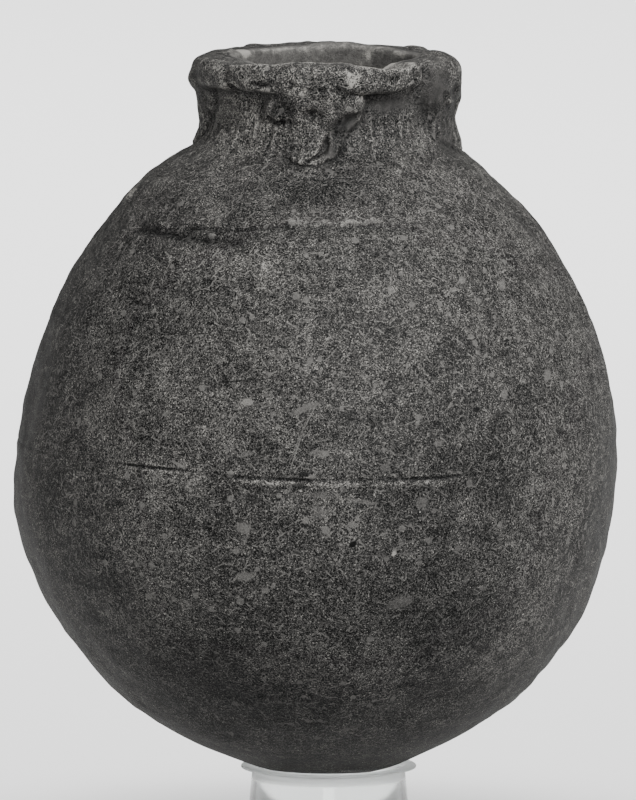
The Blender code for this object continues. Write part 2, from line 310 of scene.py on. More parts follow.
FRONT = Head(
    Horn(44.0, (6.0, 6.0, 6.0, 5.8), (7.4, 7.5, 7.5, 7.2), 3.0),
    Horn(53.0, (6.0, 6.2, 6.6, 5.4), (7.0, 7.0, 6.9, 5.8), 0.8, 9.8),
    Ear((-16.8, 22.2, 1.0), (7.6, 7.6, 6.4), (-16.0, 20.6, 9.6), (4.8, 5.0, 3.2)),
    Ear((17.2, 17.8, 1.4), (7.4, 8.2, 6.6), (17.2, 27.4, 6.2), (7.4, 4.2, 4.4)),
    2.2, 0.0, 4.4, 48.0,
    (
        Lump((-19.3, 4.4, 5.6), (6.4, 3.7, 4.4), -8.0, 0.8),
        Lump((-20.0, 38.0, -2.2), (11.0, 13.0, 4.4), 30.0, 5.0),
        Lump((-46.5, 8.0, 2.0), (5.0, 6.4, 6.4), 0.0, 3.0),
    ),
    (
        Lump((-22.4, 9.9, 9.8), (5.4, 2.0, 2.6), 8.0, 1.6),
        Lump((-40.5, 13.6, 6.4), (3.8, 3.2, 4.4), 0.0, 1.2),
        Roll(((43.6, -1.0, 10.2, 0.8), (42.6, 5.2, 11.4, 0.9), (43.8, 12.0, 9.2, 0.8)), 0.8),
        Roll(((-25.0, 20.6, 3.2, 1.0), (-22.4, 25.8, 3.6, 1.7), (-17.2, 28.8, 3.8, 1.7),
              (-11.0, 28.2, 4.8, 0.9)), 1.4),
        Roll(((25.2, 12.5, 3.8, 0.9), (25.9, 20.0, 2.8, 1.4), (24.2, 26.5, 2.0, 1.0)), 0.8),
        Lump((12.2, 11.6, 10.0), (1.9, 2.2, 2.4), 0.0, 1.0),
        Lump((-8.2, 8.8, 10.4), (1.8, 2.6, 2.0), 20.0, 1.0),
        Roll((
            (7.6, 33.0, 4.6, 0.7), (6.6, 38.5, 3.9, 2.2), (5.4, 43.0, 3.4, 2.0), (-0.8, 46.6, 2.2, 0.8),
        ), 0.8),
    ),
)
RIGHT = Head(
    Horn(27.0, (9.0, 8.4, 7.6, 7.0), (7.6, 7.2, 6.6, 6.2), 5.0, 7.6),
    Horn(52.0, (9.0, 9.0, 8.8, 7.0)),
    Ear((-11.5, 17.8, 3.2), (6.8, 7.0, 6.2), (-10.8, 17.6, 10.9), (5.4, 5.6, 3.0)),
    Ear((15.6, 21.0, 1.4), (6.2, 7.0, 6.0), (15.8, 22.0, 9.2), (3.8, 4.2, 3.4)),
    2.0, -0.05, 5.4, 46.0,
    (
        Lump((-14.0, 14.0, 0.0), (16.0, 11.0, 7.8), 0.0, 5.0),
        Lump((7.0, 19.0, 1.0), (11.0, 12.0, 7.4), 0.0, 4.0),
    ),
    (Roll(((-19.0, 17.0, 8.2, 1.0), (-17.4, 23.2, 7.8, 1.6), (-11.5, 26.0, 7.6, 1.3)), 2.0),),
)
BACK = Head(
    Horn(45.0),
    Horn(48.0),
    Ear((-15.4, 21.4, 2.2), (6.4, 7.2, 6.2), (-15.6, 22.4, 9.6), (4.0, 4.4, 3.6)),
    Ear((16.6, 20.0, 2.2), (6.2, 7.0, 6.2), (16.2, 21.6, 9.6), (4.0, 4.4, 3.6)),
    1.4, 0.06, 5.6, 42.0,
)
LEFT = Head(
    Horn(48.0, (8.6, 8.0, 7.6, 7.0)),
    Horn(45.0, (7.4, 6.8, 6.8, 7.4), (6.7, 6.8, 6.8, 6.6), 4.0, 8.8),
    Ear((-16.0, 21.0, 2.2), (6.2, 7.2, 6.0), (-16.0, 22.4, 9.4), (3.8, 4.2, 3.6)),
    Ear((19.6, 21.0, 0.2), (6.6, 7.6, 4.4), (21.6, 21.4, 6.4), (3.6, 4.0, 3.2)),
    2.0, 0.04, 3.8, 45.0,
    (
        Lump((7.0, 12.4, 7.4), (9.0, 3.6, 4.2), 0.0, 3.0),
        Lump((8.0, 27.0, -0.4), (12.0, 10.0, 6.6), 0.0, 4.0),
    ),
    (Lump((23.0, 29.0, 3.6), (3.4, 4.2, 2.8), 0.0, 1.8),),
)
HEADS = (FRONT, RIGHT, BACK, LEFT)

# How far the lip dips below the rim's height, by the angle in degrees from the front towards +X.
LIP_DIPS = (
    (-180.0, -0.3), (-143.0, 0.5), (-120.0, 0.0), (80.0, 0.0), (105.0, 0.8), (125.0, 1.2),
    (138.0, 0.2), (157.0, -0.5), (170.0, -0.5), (180.0, -0.3),
)

# The front of the rim was trimmed with a blade: how low, by the same angle, at this radius. The
# cut falls towards the mouth.
TRIM_DROPS = (
    (-75.0, -4.0), (-58.0, -0.4), (-50.0, 0.2), (-42.0, -0.1), (-31.0, -0.8), (-22.6, -1.2),
    (-14.5, -2.6), (-3.7, -2.8), (7.0, -2.2), (11.0, -1.2), (15.6, -0.1), (24.5, 1.5), (31.5, 2.2),
    (36.3, 2.0), (40.0, 0.6), (44.0, -0.6), (50.0, -0.8), (70.0, -4.0),
)
TRIM_RADIUS = 64.5
TRIM_SLOPE = 0.13

# How far under the rim's height the neck's wall ends in the lip.
WALL_TOP = 6.0

# The poll's two lumps: where they lie across, their drop and relief, and their half sizes. A head's
# own crown is added to the one up and down.
CROWN_MIDDLES = (-4.5, 7.5)
CROWN_PLACE = (11.0, -6.0)
CROWN_SIZE = (15.5, 11.0, 16.0)

# Over what widths, in mm, creases are filled or edges rounded: between the neck and its lip or a
# poll, in a poll, at the blade's cut and at the mouth. A face that stands out less than FLAT_FACE
# has a crisp outline, and any other melts into the neck.
LIP_BLEND = 2.5
CROWN_BLEND = 3.0
TRIM_BLEND = 0.7
MOUTH_BLEND = 1.0
FLAT_FACE = 5.0
FACE_BLENDS = (1.6, 5.0)

# The row of pits under the poll: how many, where the first is, how far apart they are, and a pit's
# drop, relief, size, depth and blend.
PIT_COUNT = 7
PIT_START = -9.4
PIT_SPACING = 3.1
PIT_DROP = 10.4
PIT_RELIEF = 10.6
PIT_SIZE = 1.15
PIT_DEPTH = 2.2
PIT_BLEND = 0.8

# How far an ear and its hollow lean outward, in degrees, and their blends.
EAR_TURN = 18.0
EAR_BLENDS = (1.2, 1.0)


def lump_field(places, lump):
    """About the distance to a ball with three unlike half sizes, turned in the neck's surface."""
    offset = places - np.array(lump.at)
    if lump.turn:
        turn = math.radians(lump.turn)
        across = offset[:, 0] * math.cos(turn) + offset[:, 1] * math.sin(turn)
        drop = offset[:, 1] * math.cos(turn) - offset[:, 0] * math.sin(turn)
        offset = np.stack((across, drop, offset[:, 2]), axis=1)
    size = np.array(lump.size)
    reach = np.sqrt(((offset / size) ** 2).sum(axis=1))
    slope = np.sqrt(((offset / size ** 2) ** 2).sum(axis=1))
    return reach * (reach - 1.0) / np.maximum(slope, 1e-6)


def roll_field(places, roll):
    """The distance to a bent roll."""
    nearest = np.full(len(places), 1e3)
    for start, end in zip(roll.path, roll.path[1:]):
        start, end = np.array(start), np.array(end)
        along = end[:3] - start[:3]
        offset = places - start[:3]
        share = np.clip(offset @ along / (along @ along), 0.0, 1.0)
        gap = np.linalg.norm(offset - share[:, None] * along, roll.squareness, axis=1)
        nearest = np.minimum(nearest, gap - start[3] - share * (end[3] - start[3]))
    return nearest


def outline_gap(places, outline):
    """The distance in the rolled-out surface to a closed outline, below 0 inside it."""
    gap = np.full(len(places), 1e3)
    inside = np.zeros(len(places), bool)
    for start, end in zip(outline, outline[1:] + outline[:1]):
        edge = np.array(end) - np.array(start)
        offset = places[:, :2] - np.array(start)
        share = np.clip(offset @ edge / (edge @ edge), 0.0, 1.0)
        gap = np.minimum(gap, np.linalg.norm(offset - share[:, None] * edge, axis=1))
        between = (offset[:, 1] < 0.0) != (offset[:, 1] < edge[1])
        left = offset[:, 0] * edge[1] < offset[:, 1] * edge[0]
        inside ^= between & (left == (edge[1] > 0.0))
    return np.where(inside, -gap, gap)


def tile_field(places, tile):
    """The field of a flat pad, which sinks a little way into the wall."""
    gap = outline_gap(places, tile.outline)
    inward = np.maximum(-gap, 0.0)
    thickness = tile.thickness + tile.rise * (1.0 - np.exp(-inward / tile.rise_width))
    field = -soft_union(-gap, thickness - places[:, 2], tile.edge)
    return np.maximum(field, -TILE_ROOT - places[:, 2])


FIELDS = {Lump: lump_field, Roll: roll_field, Tile: tile_field}


def horn_roll(side, horn):
    """One thick horn, which lies along the rim to a blunt tip."""
    length = math.radians(horn.reach) * NECK_RADIUS - horn.radii[-1]
    thirds = (0.0, 1.0 / 3.0, 2.0 / 3.0, 1.0)
    path = []
    for share in np.linspace(0.0, 1.0, 10):
        radius = np.interp(share, thirds, horn.radii)
        drop = np.interp(share, thirds, horn.drops)
        across = side * (HORN_ROOT + (length - HORN_ROOT) * share)
        path.append((across, drop, horn.proud - radius, radius))
    return Roll(tuple(path), horn.blend, HORN_SQUARENESS)


def face_parts(face, chin):
    """The lumps and hollows of a face that stands out so far and reaches down to its chin's drop:
    a broad worn shield of clay with its brow, nose, muzzle and eyes."""
    reach = chin / PAD_OUTLINE[6][1]
    outline = tuple((across, drop * reach) for across, drop in PAD_OUTLINE)
    blend = FACE_BLENDS[0] if face < FLAT_FACE else FACE_BLENDS[1]
    added = [
        Tile(outline, 1.4, face - 2.0, 4.0, 1.0, blend),
        Lump((0.0, 17.0, -1.0), (25.0, 16.5, 0.6 * face + 5.8), 0.0, 4.0),
        Roll(((-9.5, 17.6, face - 1.6, 3.4), (7.5, 20.2, face - 1.6, 3.4)), 4.0),
        Roll(((-1.2, 20.0, face - 7.8, 7.8), (-1.8, 35.0 * reach, face - 7.8, 7.8)), 5.0),
        Lump((-1.2, 38.0 * reach, face - 7.0), (11.0, 9.6, 7.2), 0.0, 4.0),
    ]
    return added, [Lump((0.6, 24.6, face + 3.1), (3.8, 3.6, 2.6), 0.0, 2.4)]


def fringe_pits():
    """The row of uneven pits under the poll, where the forelock was marked."""
    for step in range(PIT_COUNT):
        across = PIT_START + PIT_SPACING * step + 0.9 * math.sin(7.1 * step + 1.0)
        place = (across, PIT_DROP + 1.3 * math.sin(4.3 * step), PIT_RELIEF)
        size = PIT_SIZE + 0.4 * math.sin(2.7 * step + 0.5)
        turn = 40.0 * math.sin(5.0 * step)
        yield Lump(place, (size, 0.8 * size, PIT_DEPTH), turn, PIT_BLEND)


def head_parts(head):
    """The lumps that are added for a head, and the tools that then press hollows in it."""
    added, pressed = face_parts(head.face, head.chin)
    added += [horn_roll(-1, head.left_horn), horn_roll(1, head.right_horn)]
    for side, ear in ((-1, head.left_ear), (1, head.right_ear)):
        added.append(Lump(ear.at, ear.size, side * -EAR_TURN, EAR_BLENDS[0]))
        pressed.append(Lump(ear.hollow_at, ear.hollow_size, side * -EAR_TURN, EAR_BLENDS[1]))
    pressed += list(fringe_pits())
    return added + list(head.added), pressed + list(head.pressed)


def crown_field(places, crown):
    """The broad poll that swells the lip upward between the horns."""
    size = (CROWN_SIZE[0], CROWN_SIZE[1] + crown, CROWN_SIZE[2])
    lumps = [lump_field(places, Lump((across, *CROWN_PLACE), size)) for across in CROWN_MIDDLES]
    return -soft_union(-soft_union(*lumps, CROWN_BLEND), places[:, 2] + CROWN_DEPTH, CROWN_BLEND)


def track(angle, places):
    """A value that changes with the angle, given as (degrees, value) places."""
    return np.interp(np.degrees(angle), *zip(*places))


def trim_drop(angle, radius):
    """How far below the rim's height the blade's cut lies."""
    slope = TRIM_SLOPE * np.maximum(np.cos(angle), 0.0)
    return track(angle, TRIM_DROPS) + slope * (TRIM_RADIUS - radius)


def neck_field(angle, radius, height):
    """The field of the neck with its lip and heads: below 0 in the clay."""
    drop = RIM_HEIGHT - height
    slope = outer_radius(height + 0.5) - outer_radius(height - 0.5)
    relief = (radius - outer_radius(height)) / np.sqrt(1.0 + slope ** 2)
    field = np.maximum(relief, BORE_RADIUS - radius)
    field = np.maximum(field, WALL_TOP - drop)
    dip = track(angle, LIP_DIPS)
    across = np.abs(radius - LIP_RADIUS) / LIP_HALF[0]
    down = np.abs(drop - dip - LIP_HALF[1]) / LIP_HALF[1]
    lip = (across ** LIP_SQUARENESS + down ** LIP_SQUARENESS) ** (1.0 / LIP_SQUARENESS)
    field = soft_union(field, (lip - 1.0) * LIP_HALF[1], LIP_BLEND)
    hollows = []
    for index, head in enumerate(HEADS):
        middle = math.radians(HEADS_TURN) + 0.5 * math.pi * index
        turn = (angle - middle + math.pi) % (2.0 * math.pi) - math.pi
        near = np.abs(turn) < math.radians(HEAD_REACH)
        across = turn[near] * NECK_RADIUS + head.skew * (drop[near] - 10.0)
        places = np.stack((across, drop[near], relief[near]), axis=1)
        part = soft_union(field[near], crown_field(places, head.crown), LIP_BLEND)
        added, pressed = head_parts(head)
        for shape in added:
            part = soft_union(part, FIELDS[type(shape)](places, shape), shape.blend)
        field[near] = part
        hollows += [(near, places, shape) for shape in pressed]
    for near, places, shape in hollows:
        field[near] = soft_cut(field[near], FIELDS[type(shape)](places, shape), shape.blend)
    field = soft_cut(field, drop - trim_drop(angle, radius), TRIM_BLEND)
    return soft_cut(field, radius - MOUTH_RADIUS, MOUTH_BLEND)


# The rays that the neck's surface is looked for along, from inside the clay to the open air:
# (radius, drop) of a ray's start and of its end, and how far apart the rays stand there.
RAYS = (
    ((53.0, 15.0), (37.0, 15.0), 1.9),
    ((53.0, 9.0), (36.0, 8.0), 1.5),
    ((53.5, 7.5), (38.0, -7.0), 1.0),
    ((54.0, 7.0), (54.0, -12.0), 0.95),
    ((55.0, 7.5), (75.0, -8.0), 0.95),
    ((55.0, 8.5), (82.0, 8.0), 0.9),
    ((55.0, 10.0), (82.0, 17.0), 0.9),
    ((54.0, 14.0), (79.0, 25.0), 0.9),
    ((52.0, 29.0), (75.0, 29.0), 0.95),
    ((54.4, 43.3), (72.8, 33.3), 1.0),
    ((65.3, 54.9), (76.6, 37.2), 1.1),
    ((74.0, 59.0), (82.0, 43.5), 1.7),
)


def ray_ends():
    """The rays, spaced along the surface between them."""
    starts = np.array([start for start, _, _ in RAYS])
    ends = np.array([end for _, end, _ in RAYS])
    steps = np.array([step for _, _, step in RAYS])
    middles = 0.55 * starts + 0.45 * ends
    lengths = np.linalg.norm(np.diff(middles, axis=0), axis=1)
    counts = np.concatenate(([0.0], np.cumsum(2.0 * lengths / (steps[1:] + steps[:-1]))))
    places = np.linspace(0.0, counts[-1], int(counts[-1]) + 1)
    columns = [np.interp(places, counts, side[:, axis]) for side in (starts, ends) for axis in (0, 1)]
    return np.stack(columns[:2], axis=1), np.stack(columns[2:], axis=1)


def neck_points(angle, radius, height):
    return np.stack((radius * np.sin(angle), -radius * np.cos(angle), height), axis=-1)


def field_at(points):
    """The neck's field at points in space."""
    angle = np.arctan2(points[:, 0], -points[:, 1])
    return neck_field(angle, np.hypot(points[:, 0], points[:, 1]), points[:, 2])


def slope_at(points, step=0.12):
    """The field's slope in X, Y and Z."""
    slope = np.empty_like(points)
    for axis in range(3):
        offset = np.zeros(3)
        offset[axis] = step
        slope[:, axis] = (field_at(points + offset) - field_at(points - offset)) / (2.0 * step)
    return slope


def neck_net():
    """Corners and faces of the neck's zero level, and the loops at its inner and outer end."""
    starts, ends = ray_ends()
    rows, cells = len(starts), RAY_CELLS
    share = np.linspace(0.0, 1.0, cells + 1)
    flat = starts[:, None, :] + (ends - starts)[:, None, :] * share[None, :, None]
    angles = np.arange(NECK_STEPS) * 2.0 * math.pi / NECK_STEPS
    shape = (NECK_STEPS, rows, cells + 1)
    angle = np.broadcast_to(angles[:, None, None], shape).ravel()
    radius = np.broadcast_to(flat[None, :, :, 0], shape).ravel()
    height = np.broadcast_to(RIM_HEIGHT - flat[None, :, :, 1], shape).ravel()
    field = neck_field(angle, radius, height).reshape(shape)
    points = neck_points(angle, radius, height).reshape(shape + (3,))
    inside = field < 0.0

    total = np.zeros((NECK_STEPS, rows - 1, cells, 3))
    count = np.zeros((NECK_STEPS, rows - 1, cells))
    corners = [(u, v, w) for u in (0, 1) for v in (0, 1) for w in (0, 1)]

    def at_corner(grid, corner):
        u, v, w = corner
        turned = np.roll(grid, -u, axis=0)
        return turned[:, v:rows - 1 + v, w:cells + w]

    for first in corners:
        for second in corners:
            if first >= second or sum(abs(a - b) for a, b in zip(first, second)) != 1:
                continue
            low, high = at_corner(field, first), at_corner(field, second)
            crossed = (low < 0.0) != (high < 0.0)
            gap = np.where(crossed, low - high, 1.0)
            part = (low / gap)[..., None]
            start, end = at_corner(points, first), at_corner(points, second)
            total += np.where(crossed[..., None], start + (end - start) * part, 0.0)
            count += crossed
    active = count > 0
    number = np.full(active.shape, -1)
    number[active] = np.arange(active.sum())
    made = total[active] / count[active][:, None]

    faces = []

    def add_faces(crossing, flipped, around):
        """Quads of the four cells round each crossed edge."""
        quads = np.stack([cell[crossing] for cell in around], axis=1)
        turned = flipped[crossing]
        quads[turned] = quads[turned][:, ::-1]
        faces.append(quads)

    before = np.roll(number, 1, axis=0)
    edge = inside[:, 1:-1, :-1] != inside[:, 1:-1, 1:]
    add_faces(edge, inside[:, 1:-1, :-1], (
        before[:, :-1, :], number[:, :-1, :], number[:, 1:, :], before[:, 1:, :],
    ))
    edge = inside[:, :-1, 1:-1] != inside[:, 1:, 1:-1]
    add_faces(edge, ~inside[:, :-1, 1:-1], (
        before[:, :, :-1], number[:, :, :-1], number[:, :, 1:], before[:, :, 1:],
    ))
    edge = inside[:, 1:-1, 1:-1] != np.roll(inside, -1, axis=0)[:, 1:-1, 1:-1]
    add_faces(edge, inside[:, 1:-1, 1:-1], (
        number[:, :-1, :-1], number[:, 1:, :-1], number[:, 1:, 1:], number[:, :-1, 1:],
    ))
    faces = np.concatenate(faces)

    loops = []
    for row, cell_row in ((0, 0), (rows - 1, rows - 2)):
        crossed = inside[:, row, :-1] != inside[:, row, 1:]
        columns = crossed.argmax(axis=1)
        loops.append(number[np.arange(NECK_STEPS), cell_row, columns])
    return made, faces, loops[0], loops[1]


class Neighbours:
    """The corners that edges join, given as pairs of corner numbers."""

    def __init__(self, pairs, size):
        self.here = np.concatenate((pairs[:, 0], pairs[:, 1]))
        self.beside = np.concatenate((pairs[:, 1], pairs[:, 0]))
        self.count = np.bincount(self.here, minlength=size)

    def mean(self, values):
        """The mean at each corner of one value for each end of an edge."""
        return np.bincount(self.here, values, len(self.count)) / self.count

    def middle(self, points):
        """The middle of each corner's neighbours."""
        return np.stack([self.mean(points[self.beside, axis]) for axis in range(3)], axis=1)


def settled(points, faces, fixed):
    """The net's corners, spread evenly and then laid back on the zero level."""
    near = Neighbours(faces[:, [0, 1, 1, 2, 2, 3, 3, 0]].reshape(-1, 2), len(points))
    for _ in range(SETTLE_ROUNDS):
        moved = near.middle(points)
        moved[fixed] = points[fixed]
        points = 0.5 * points + 0.5 * moved
        for _ in range(2):
            slope = slope_at(points)
            square = np.maximum((slope ** 2).sum(axis=1), 0.05)
            shift = -(field_at(points) / square)[:, None] * slope
            length = np.linalg.norm(shift, axis=1)[:, None]
            points = points + shift * np.minimum(1.0, SETTLE_REACH / np.maximum(length, 1e-9))
    return points


# The potter's marks and the damage, by height from the jar's lowest point and by the angle in
# degrees from the front towards +X.

CRACK_LINE = (
    (-180.0, 167.5), (-90.0, 168.2), (-39.0, 169.0), (-27.0, 168.4), (-16.0, 166.7), (-10.0, 166.0),
    (-4.0, 165.5), (15.0, 165.4), (23.0, 165.0), (29.0, 165.7), (90.0, 166.6), (180.0, 167.5),
)
CRACK_DEPTH = (
    (-180.0, 0.3), (-120.0, 0.5), (-60.0, 0.1), (-41.0, 0.2), (-38.5, 1.0), (-27.5, 1.0),
    (-25.5, 0.15), (-17.0, 0.25), (-15.0, 0.6), (-5.0, 0.6), (-2.5, 1.0), (0.5, 0.25), (14.0, 0.25),
    (15.0, 0.8), (23.0, 0.7), (29.0, 0.3), (33.0, 0.05), (90.0, 0.1), (140.0, 0.5), (180.0, 0.3),
)
CRACK_LEDGE = (
    (-180.0, 0.3), (-45.0, 0.1), (-17.0, 0.1), (-15.5, 1.0), (-4.0, 1.0), (1.0, 0.6), (14.0, 0.5),
    (16.0, 1.0), (23.0, 0.9), (30.0, 0.2), (100.0, 0.1), (180.0, 0.3),
)
CRACK_HEIGHT = 167.0
CRACK_CUT = 0.8
CRACK_HALF_WIDTH = 0.75
LEDGE_RISE = 0.5
LEDGE_HALF_WIDTH = 1.5
BEND_REACH = 16.0


class Groove(NamedTuple):
    """A groove that a finger or a stick drew: (degrees, height) places, half width and depth."""

    path: tuple
    half_width: float
    depth: float


GROOVES = (
    Groove(((-57.0, 280.0), (-41.0, 278.6), (-29.0, 277.6), (-22.0, 277.7)), 2.6, 0.8),
    Groove(((-39.0, 282.4), (-25.5, 282.2), (-16.5, 284.0), (-9.0, 285.6)), 1.8, 0.6),
    Groove(((-28.0, 280.2), (-20.0, 280.9), (-13.0, 282.2)), 0.9, 0.4),
)
GROOVE_RADIUS = 105.0
SHOULDER_STRETCH = 1.3

# The prints of fingertips that pushed the neck's clay down onto the shoulder.
PRINT_ANGLES = (-6.2, 1.2, 8.5, 15.2, 22.6, 29.5)
PRINT_DEPTHS = (0.7, 0.8, 1.0, 0.8, 0.4, 0.3)
PRINT_COVER = 0.65
PRINT_HEIGHT = 284.6
PRINT_HALF = (5.4, 4.2)
PRINT_RADIUS = 99.0

# The shallow dip that all the prints lie in: its depth, half height, and half width in radians. The
# clay that each print pushes up: how high as a share of the print's depth, and how far out it lies
# and how wide it is as shares of the print's size. A print's own width as such a share.
PRINT_DIP = (0.5, 3.2, 0.55)
PRINT_DIP_ANGLE = 8.0
PRINT_LIP = (1.3, 1.15, 0.32)
PRINT_WIDTH = 0.85

# The waves in the hand-built wall: how high they are, how many are summed, the longest and the
# shortest, and the seed of their directions. From what height up and over what width they start.
WALL_WAVES = ((0.45, 24, 90.0, 35.0, 11), (0.2, 40, 30.0, 12.0, 12), (0.08, 60, 10.0, 5.0, 13))
WALL_WAVES_BAND = (10.0, 30.0)

# The neck's root swells on the left: how far, round which height with what half height, and from
# what sine of the angle on, over what width. The upright ripples above it, from wiping: how high,
# their waves, how often longer they are up and down, and their height and half height.
SWELL_RISE = 1.7
SWELL_BAND = (308.0, 15.0)
SWELL_SIDE = (0.35, 0.55)
RIPPLE_RISE = 0.2
RIPPLE_WAVES = (30, 5.0, 2.2, 14)
RIPPLE_STRETCH = 9.0
RIPPLE_BAND = (324.0, 16.0)

# Where the grooves on the shoulder are looked for: round which height, how far from it, and how
# many degrees to both sides of the front.
GROOVE_HEIGHT = 281.0
GROOVE_REACH = 12.0
GROOVE_SIDE = 80.0


class Blotch(NamedTuple):
    """A pale or dark patch: its angle, height, half width, half height in mm, and strength."""

    angle: float
    height: float
    half_width: float
    half_height: float
    strength: float


PATCHES_WITH_PAINTED_LIGHT = (
    Blotch(-81.7, 291.9, 5.0, 2.6, 1.8),
    Blotch(10.5, 355.5, 3.6, 3.4, 1.0),
    # A painted highlight on a pale chip at the rim's left.
    Blotch(-114.0, 361.5, 5.0, 3.0, 2.6),
    # Painted light over the shade under the rim on the left.
    Blotch(-52.0, 332.0, 28.0, 20.0, 0.5),
    # Painted shade in the front head's left ear.
    Blotch(-23.0, 339.0, 6.0, 5.4, -0.8),
    # Painted shade, darker low on the body.
    Blotch(25.0, 105.0, 40.0, 40.0, -0.42),
    Blotch(27.0, 165.0, 38.0, 22.0, -0.25),
    # Painted shade, darker low on the body, here and in the next patch.
    Blotch(-30.0, 60.0, 50.0, 30.0, -0.36),
    Blotch(15.0, 40.0, 60.0, 26.0, -0.12),
    Blotch(-20.0, 268.0, 30.0, 14.0, 0.2),
    # Painted shade in a band where the neck meets the shoulder.
    Blotch(0.0, 302.0, 40.0, 9.0, -0.3),
    # A darker patch beside the front head's muzzle.
    Blotch(4.8, 318.0, 3.6, 6.0, -0.5),
    # Painted shade under the front head's right ear.
    Blotch(5.5, 330.0, 5.0, 4.0, -0.6),
    Blotch(-13.4, 266.6, 3.4, 2.3, 0.6),
)

# Where wet fingers smeared the neck's surface smooth.
SMEARS = (
    Blotch(32.5, 341.0, 15.0, 4.4, 1.0),
    Blotch(59.0, 347.0, 7.0, 14.0, 0.9),
    Blotch(10.0, 332.5, 7.0, 4.4, 1.0),
    Blotch(1.5, 319.0, 3.0, 5.0, 0.9),
    Blotch(72.0, 320.0, 8.0, 14.0, 0.6),
    Blotch(-75.0, 335.0, 8.0, 20.0, 0.5),
)

# How pale the rest is. For the crack's painted shade and the painted highlight on its ledge: the
# strength, how far above the crack's line it lies, and its half height. Then the painted shade in
# the grooves, the painted highlight over each print, with its height, half width and half height,
# and the painted highlight along the rim's cut edge, with its half height.
CRACK_PAINTED_SHADE = (-0.55, 0.2, 0.8)
LEDGE_PAINTED_HIGHLIGHT = (0.35, -2.2, 1.0)
GROOVE_PAINTED_SHADE = -0.8
PRINT_PAINTED_HIGHLIGHT = 0.25
PRINT_HIGHLIGHT_HEIGHT = 293.0
PRINT_HIGHLIGHT_HALF = (4.5, 3.2)
RIM_EDGE_PAINTED_HIGHLIGHT = 0.9
EDGE_HALF_HEIGHT = 0.7

# The mouth's inside: within so far of the bore and above a height, how much painted light makes
# it paler, and a paler spot in it. How much of its speckle is smoothed away, which is also the most
# in a smear, and over what radii that dies away.
INSIDE_REACH = 1.5
INSIDE_HEIGHT = 300.0
INSIDE_PAINTED_LIGHT = 0.5
SPOT_PALE = 1.3
SPOT_ANGLE = 152.0
SPOT_HEIGHT = 356.2
SPOT_HALF = (1.8, 2.1)
MOST_SMOOTH = 0.85
SMOOTH_BAND = (BORE_RADIUS + 0.5, 3.0)


class Mark(NamedTuple):
    """A smooth pale chip, smear, scratch or painted highlight on the outside, or a dark pit: (degrees,
    height) at both ends, its half width, how much it covers, and its tone."""

    start: tuple
    end: tuple
    half_width: float
    cover: float
    tone: float = 0.8


MARKS = (
    Mark((-5.4, 197.6), (0.3, 203.5), 1.9, 0.74),
    Mark((-0.6, 202.5), (-3.0, 190.0), 0.35, 1.0),
    Mark((-3.0, 190.0), (-5.4, 168.0), 0.35, 1.0),
    Mark((-1.6, 201.0), (-6.0, 168.5), 0.3, 0.68),
    Mark((-4.3, 211.5), (-6.8, 196.0), 0.3, 0.68),
    Mark((7.0, 304.0), (14.7, 296.4), 0.3, 1.0),
    Mark((35.5, 298.4), (39.5, 294.4), 0.4, 1.0),
    Mark((-13.8, 130.0), (-11.5, 147.0), 0.35, 0.68),
    Mark((8.0, 128.0), (15.0, 127.0), 0.3, 0.68),
    Mark((-15.3, 203.0), (-13.7, 203.0), 1.9, 0.9, 0.9),
    Mark((-14.9, 176.6), (-12.6, 178.6), 1.5, 0.68),
    Mark((-28.8, 172.8), (-25.8, 169.8), 0.9, 1.0),
    Mark((-1.0, 178.8), (1.0, 178.2), 2.0, 0.68),
    Mark((12.6, 170.8), (13.4, 171.2), 2.0, 0.68),
    Mark((23.2, 182.0), (23.8, 182.0), 1.9, 0.81),
    Mark((20.3, 153.0), (20.8, 153.4), 3.2, 0.74),
    Mark((-13.8, 141.3), (-13.3, 140.7), 3.2, 0.81),
    Mark((-14.0, 116.5), (-12.6, 116.5), 2.8, 0.81),
    Mark((15.2, 102.0), (18.6, 104.0), 3.2, 0.68),
    Mark((15.4, 128.1), (15.5, 128.3), 1.4, 1.0, 1.0),
    Mark((15.8, 128.2), (20.0, 127.2), 0.6, 0.68),
    Mark((-17.5, 192.5), (-16.3, 196.5), 0.7, 0.68),
    Mark((-24.6, 128.0), (-22.4, 131.0), 0.9, 0.68),
    Mark((-20.5, 151.5), (-18.0, 152.5), 0.7, 0.81),
    Mark((0.4, 151.0), (1.0, 149.0), 2.6, 0.61),
    Mark((-1.8, 158.5), (3.6, 157.5), 1.6, 0.54),
    Mark((6.0, 155.8), (11.5, 153.5), 1.3, 0.61),
    Mark((52.6, 209.0), (53.2, 211.0), 2.6, 0.81),
    Mark((47.0, 254.0), (47.8, 256.0), 2.2, 0.81),
    Mark((39.4, 203.0), (39.8, 204.0), 2.4, 0.81),
    Mark((-51.0, 183.0), (-48.0, 186.0), 0.6, 0.81),
    Mark((-38.0, 222.0), (-35.0, 226.0), 0.5, 0.68),
    Mark((7.2, 133.2), (7.6, 133.8), 1.3, 0.9, 0.02),
    Mark((32.0, 197.0), (32.6, 197.4), 1.3, 0.8, 0.05),
    Mark((-3.4, 168.2), (-1.8, 168.0), 1.0, 0.6, 0.1),
    Mark((-4.2, 163.0), (-2.2, 162.2), 1.3, 0.6, 0.1),
    Mark((-13.0, 157.0), (-11.0, 156.0), 2.2, 0.3, 0.1),
    Mark((-22.0, 211.0), (-10.0, 214.5), 0.5, 0.5, 0.1),
)

# The painted highlight on the pale ridge over each print, drawn as two strokes from its top down
# its sides: their heights there, how far aside they end, in degrees, their half width and their tone.
RIDGE_HEIGHTS = (288.2, 286.6)
RIDGE_SPREAD = 2.4
RIDGE_HALF_WIDTH = 1.1
RIDGE_HIGHLIGHT_TONE = 0.95


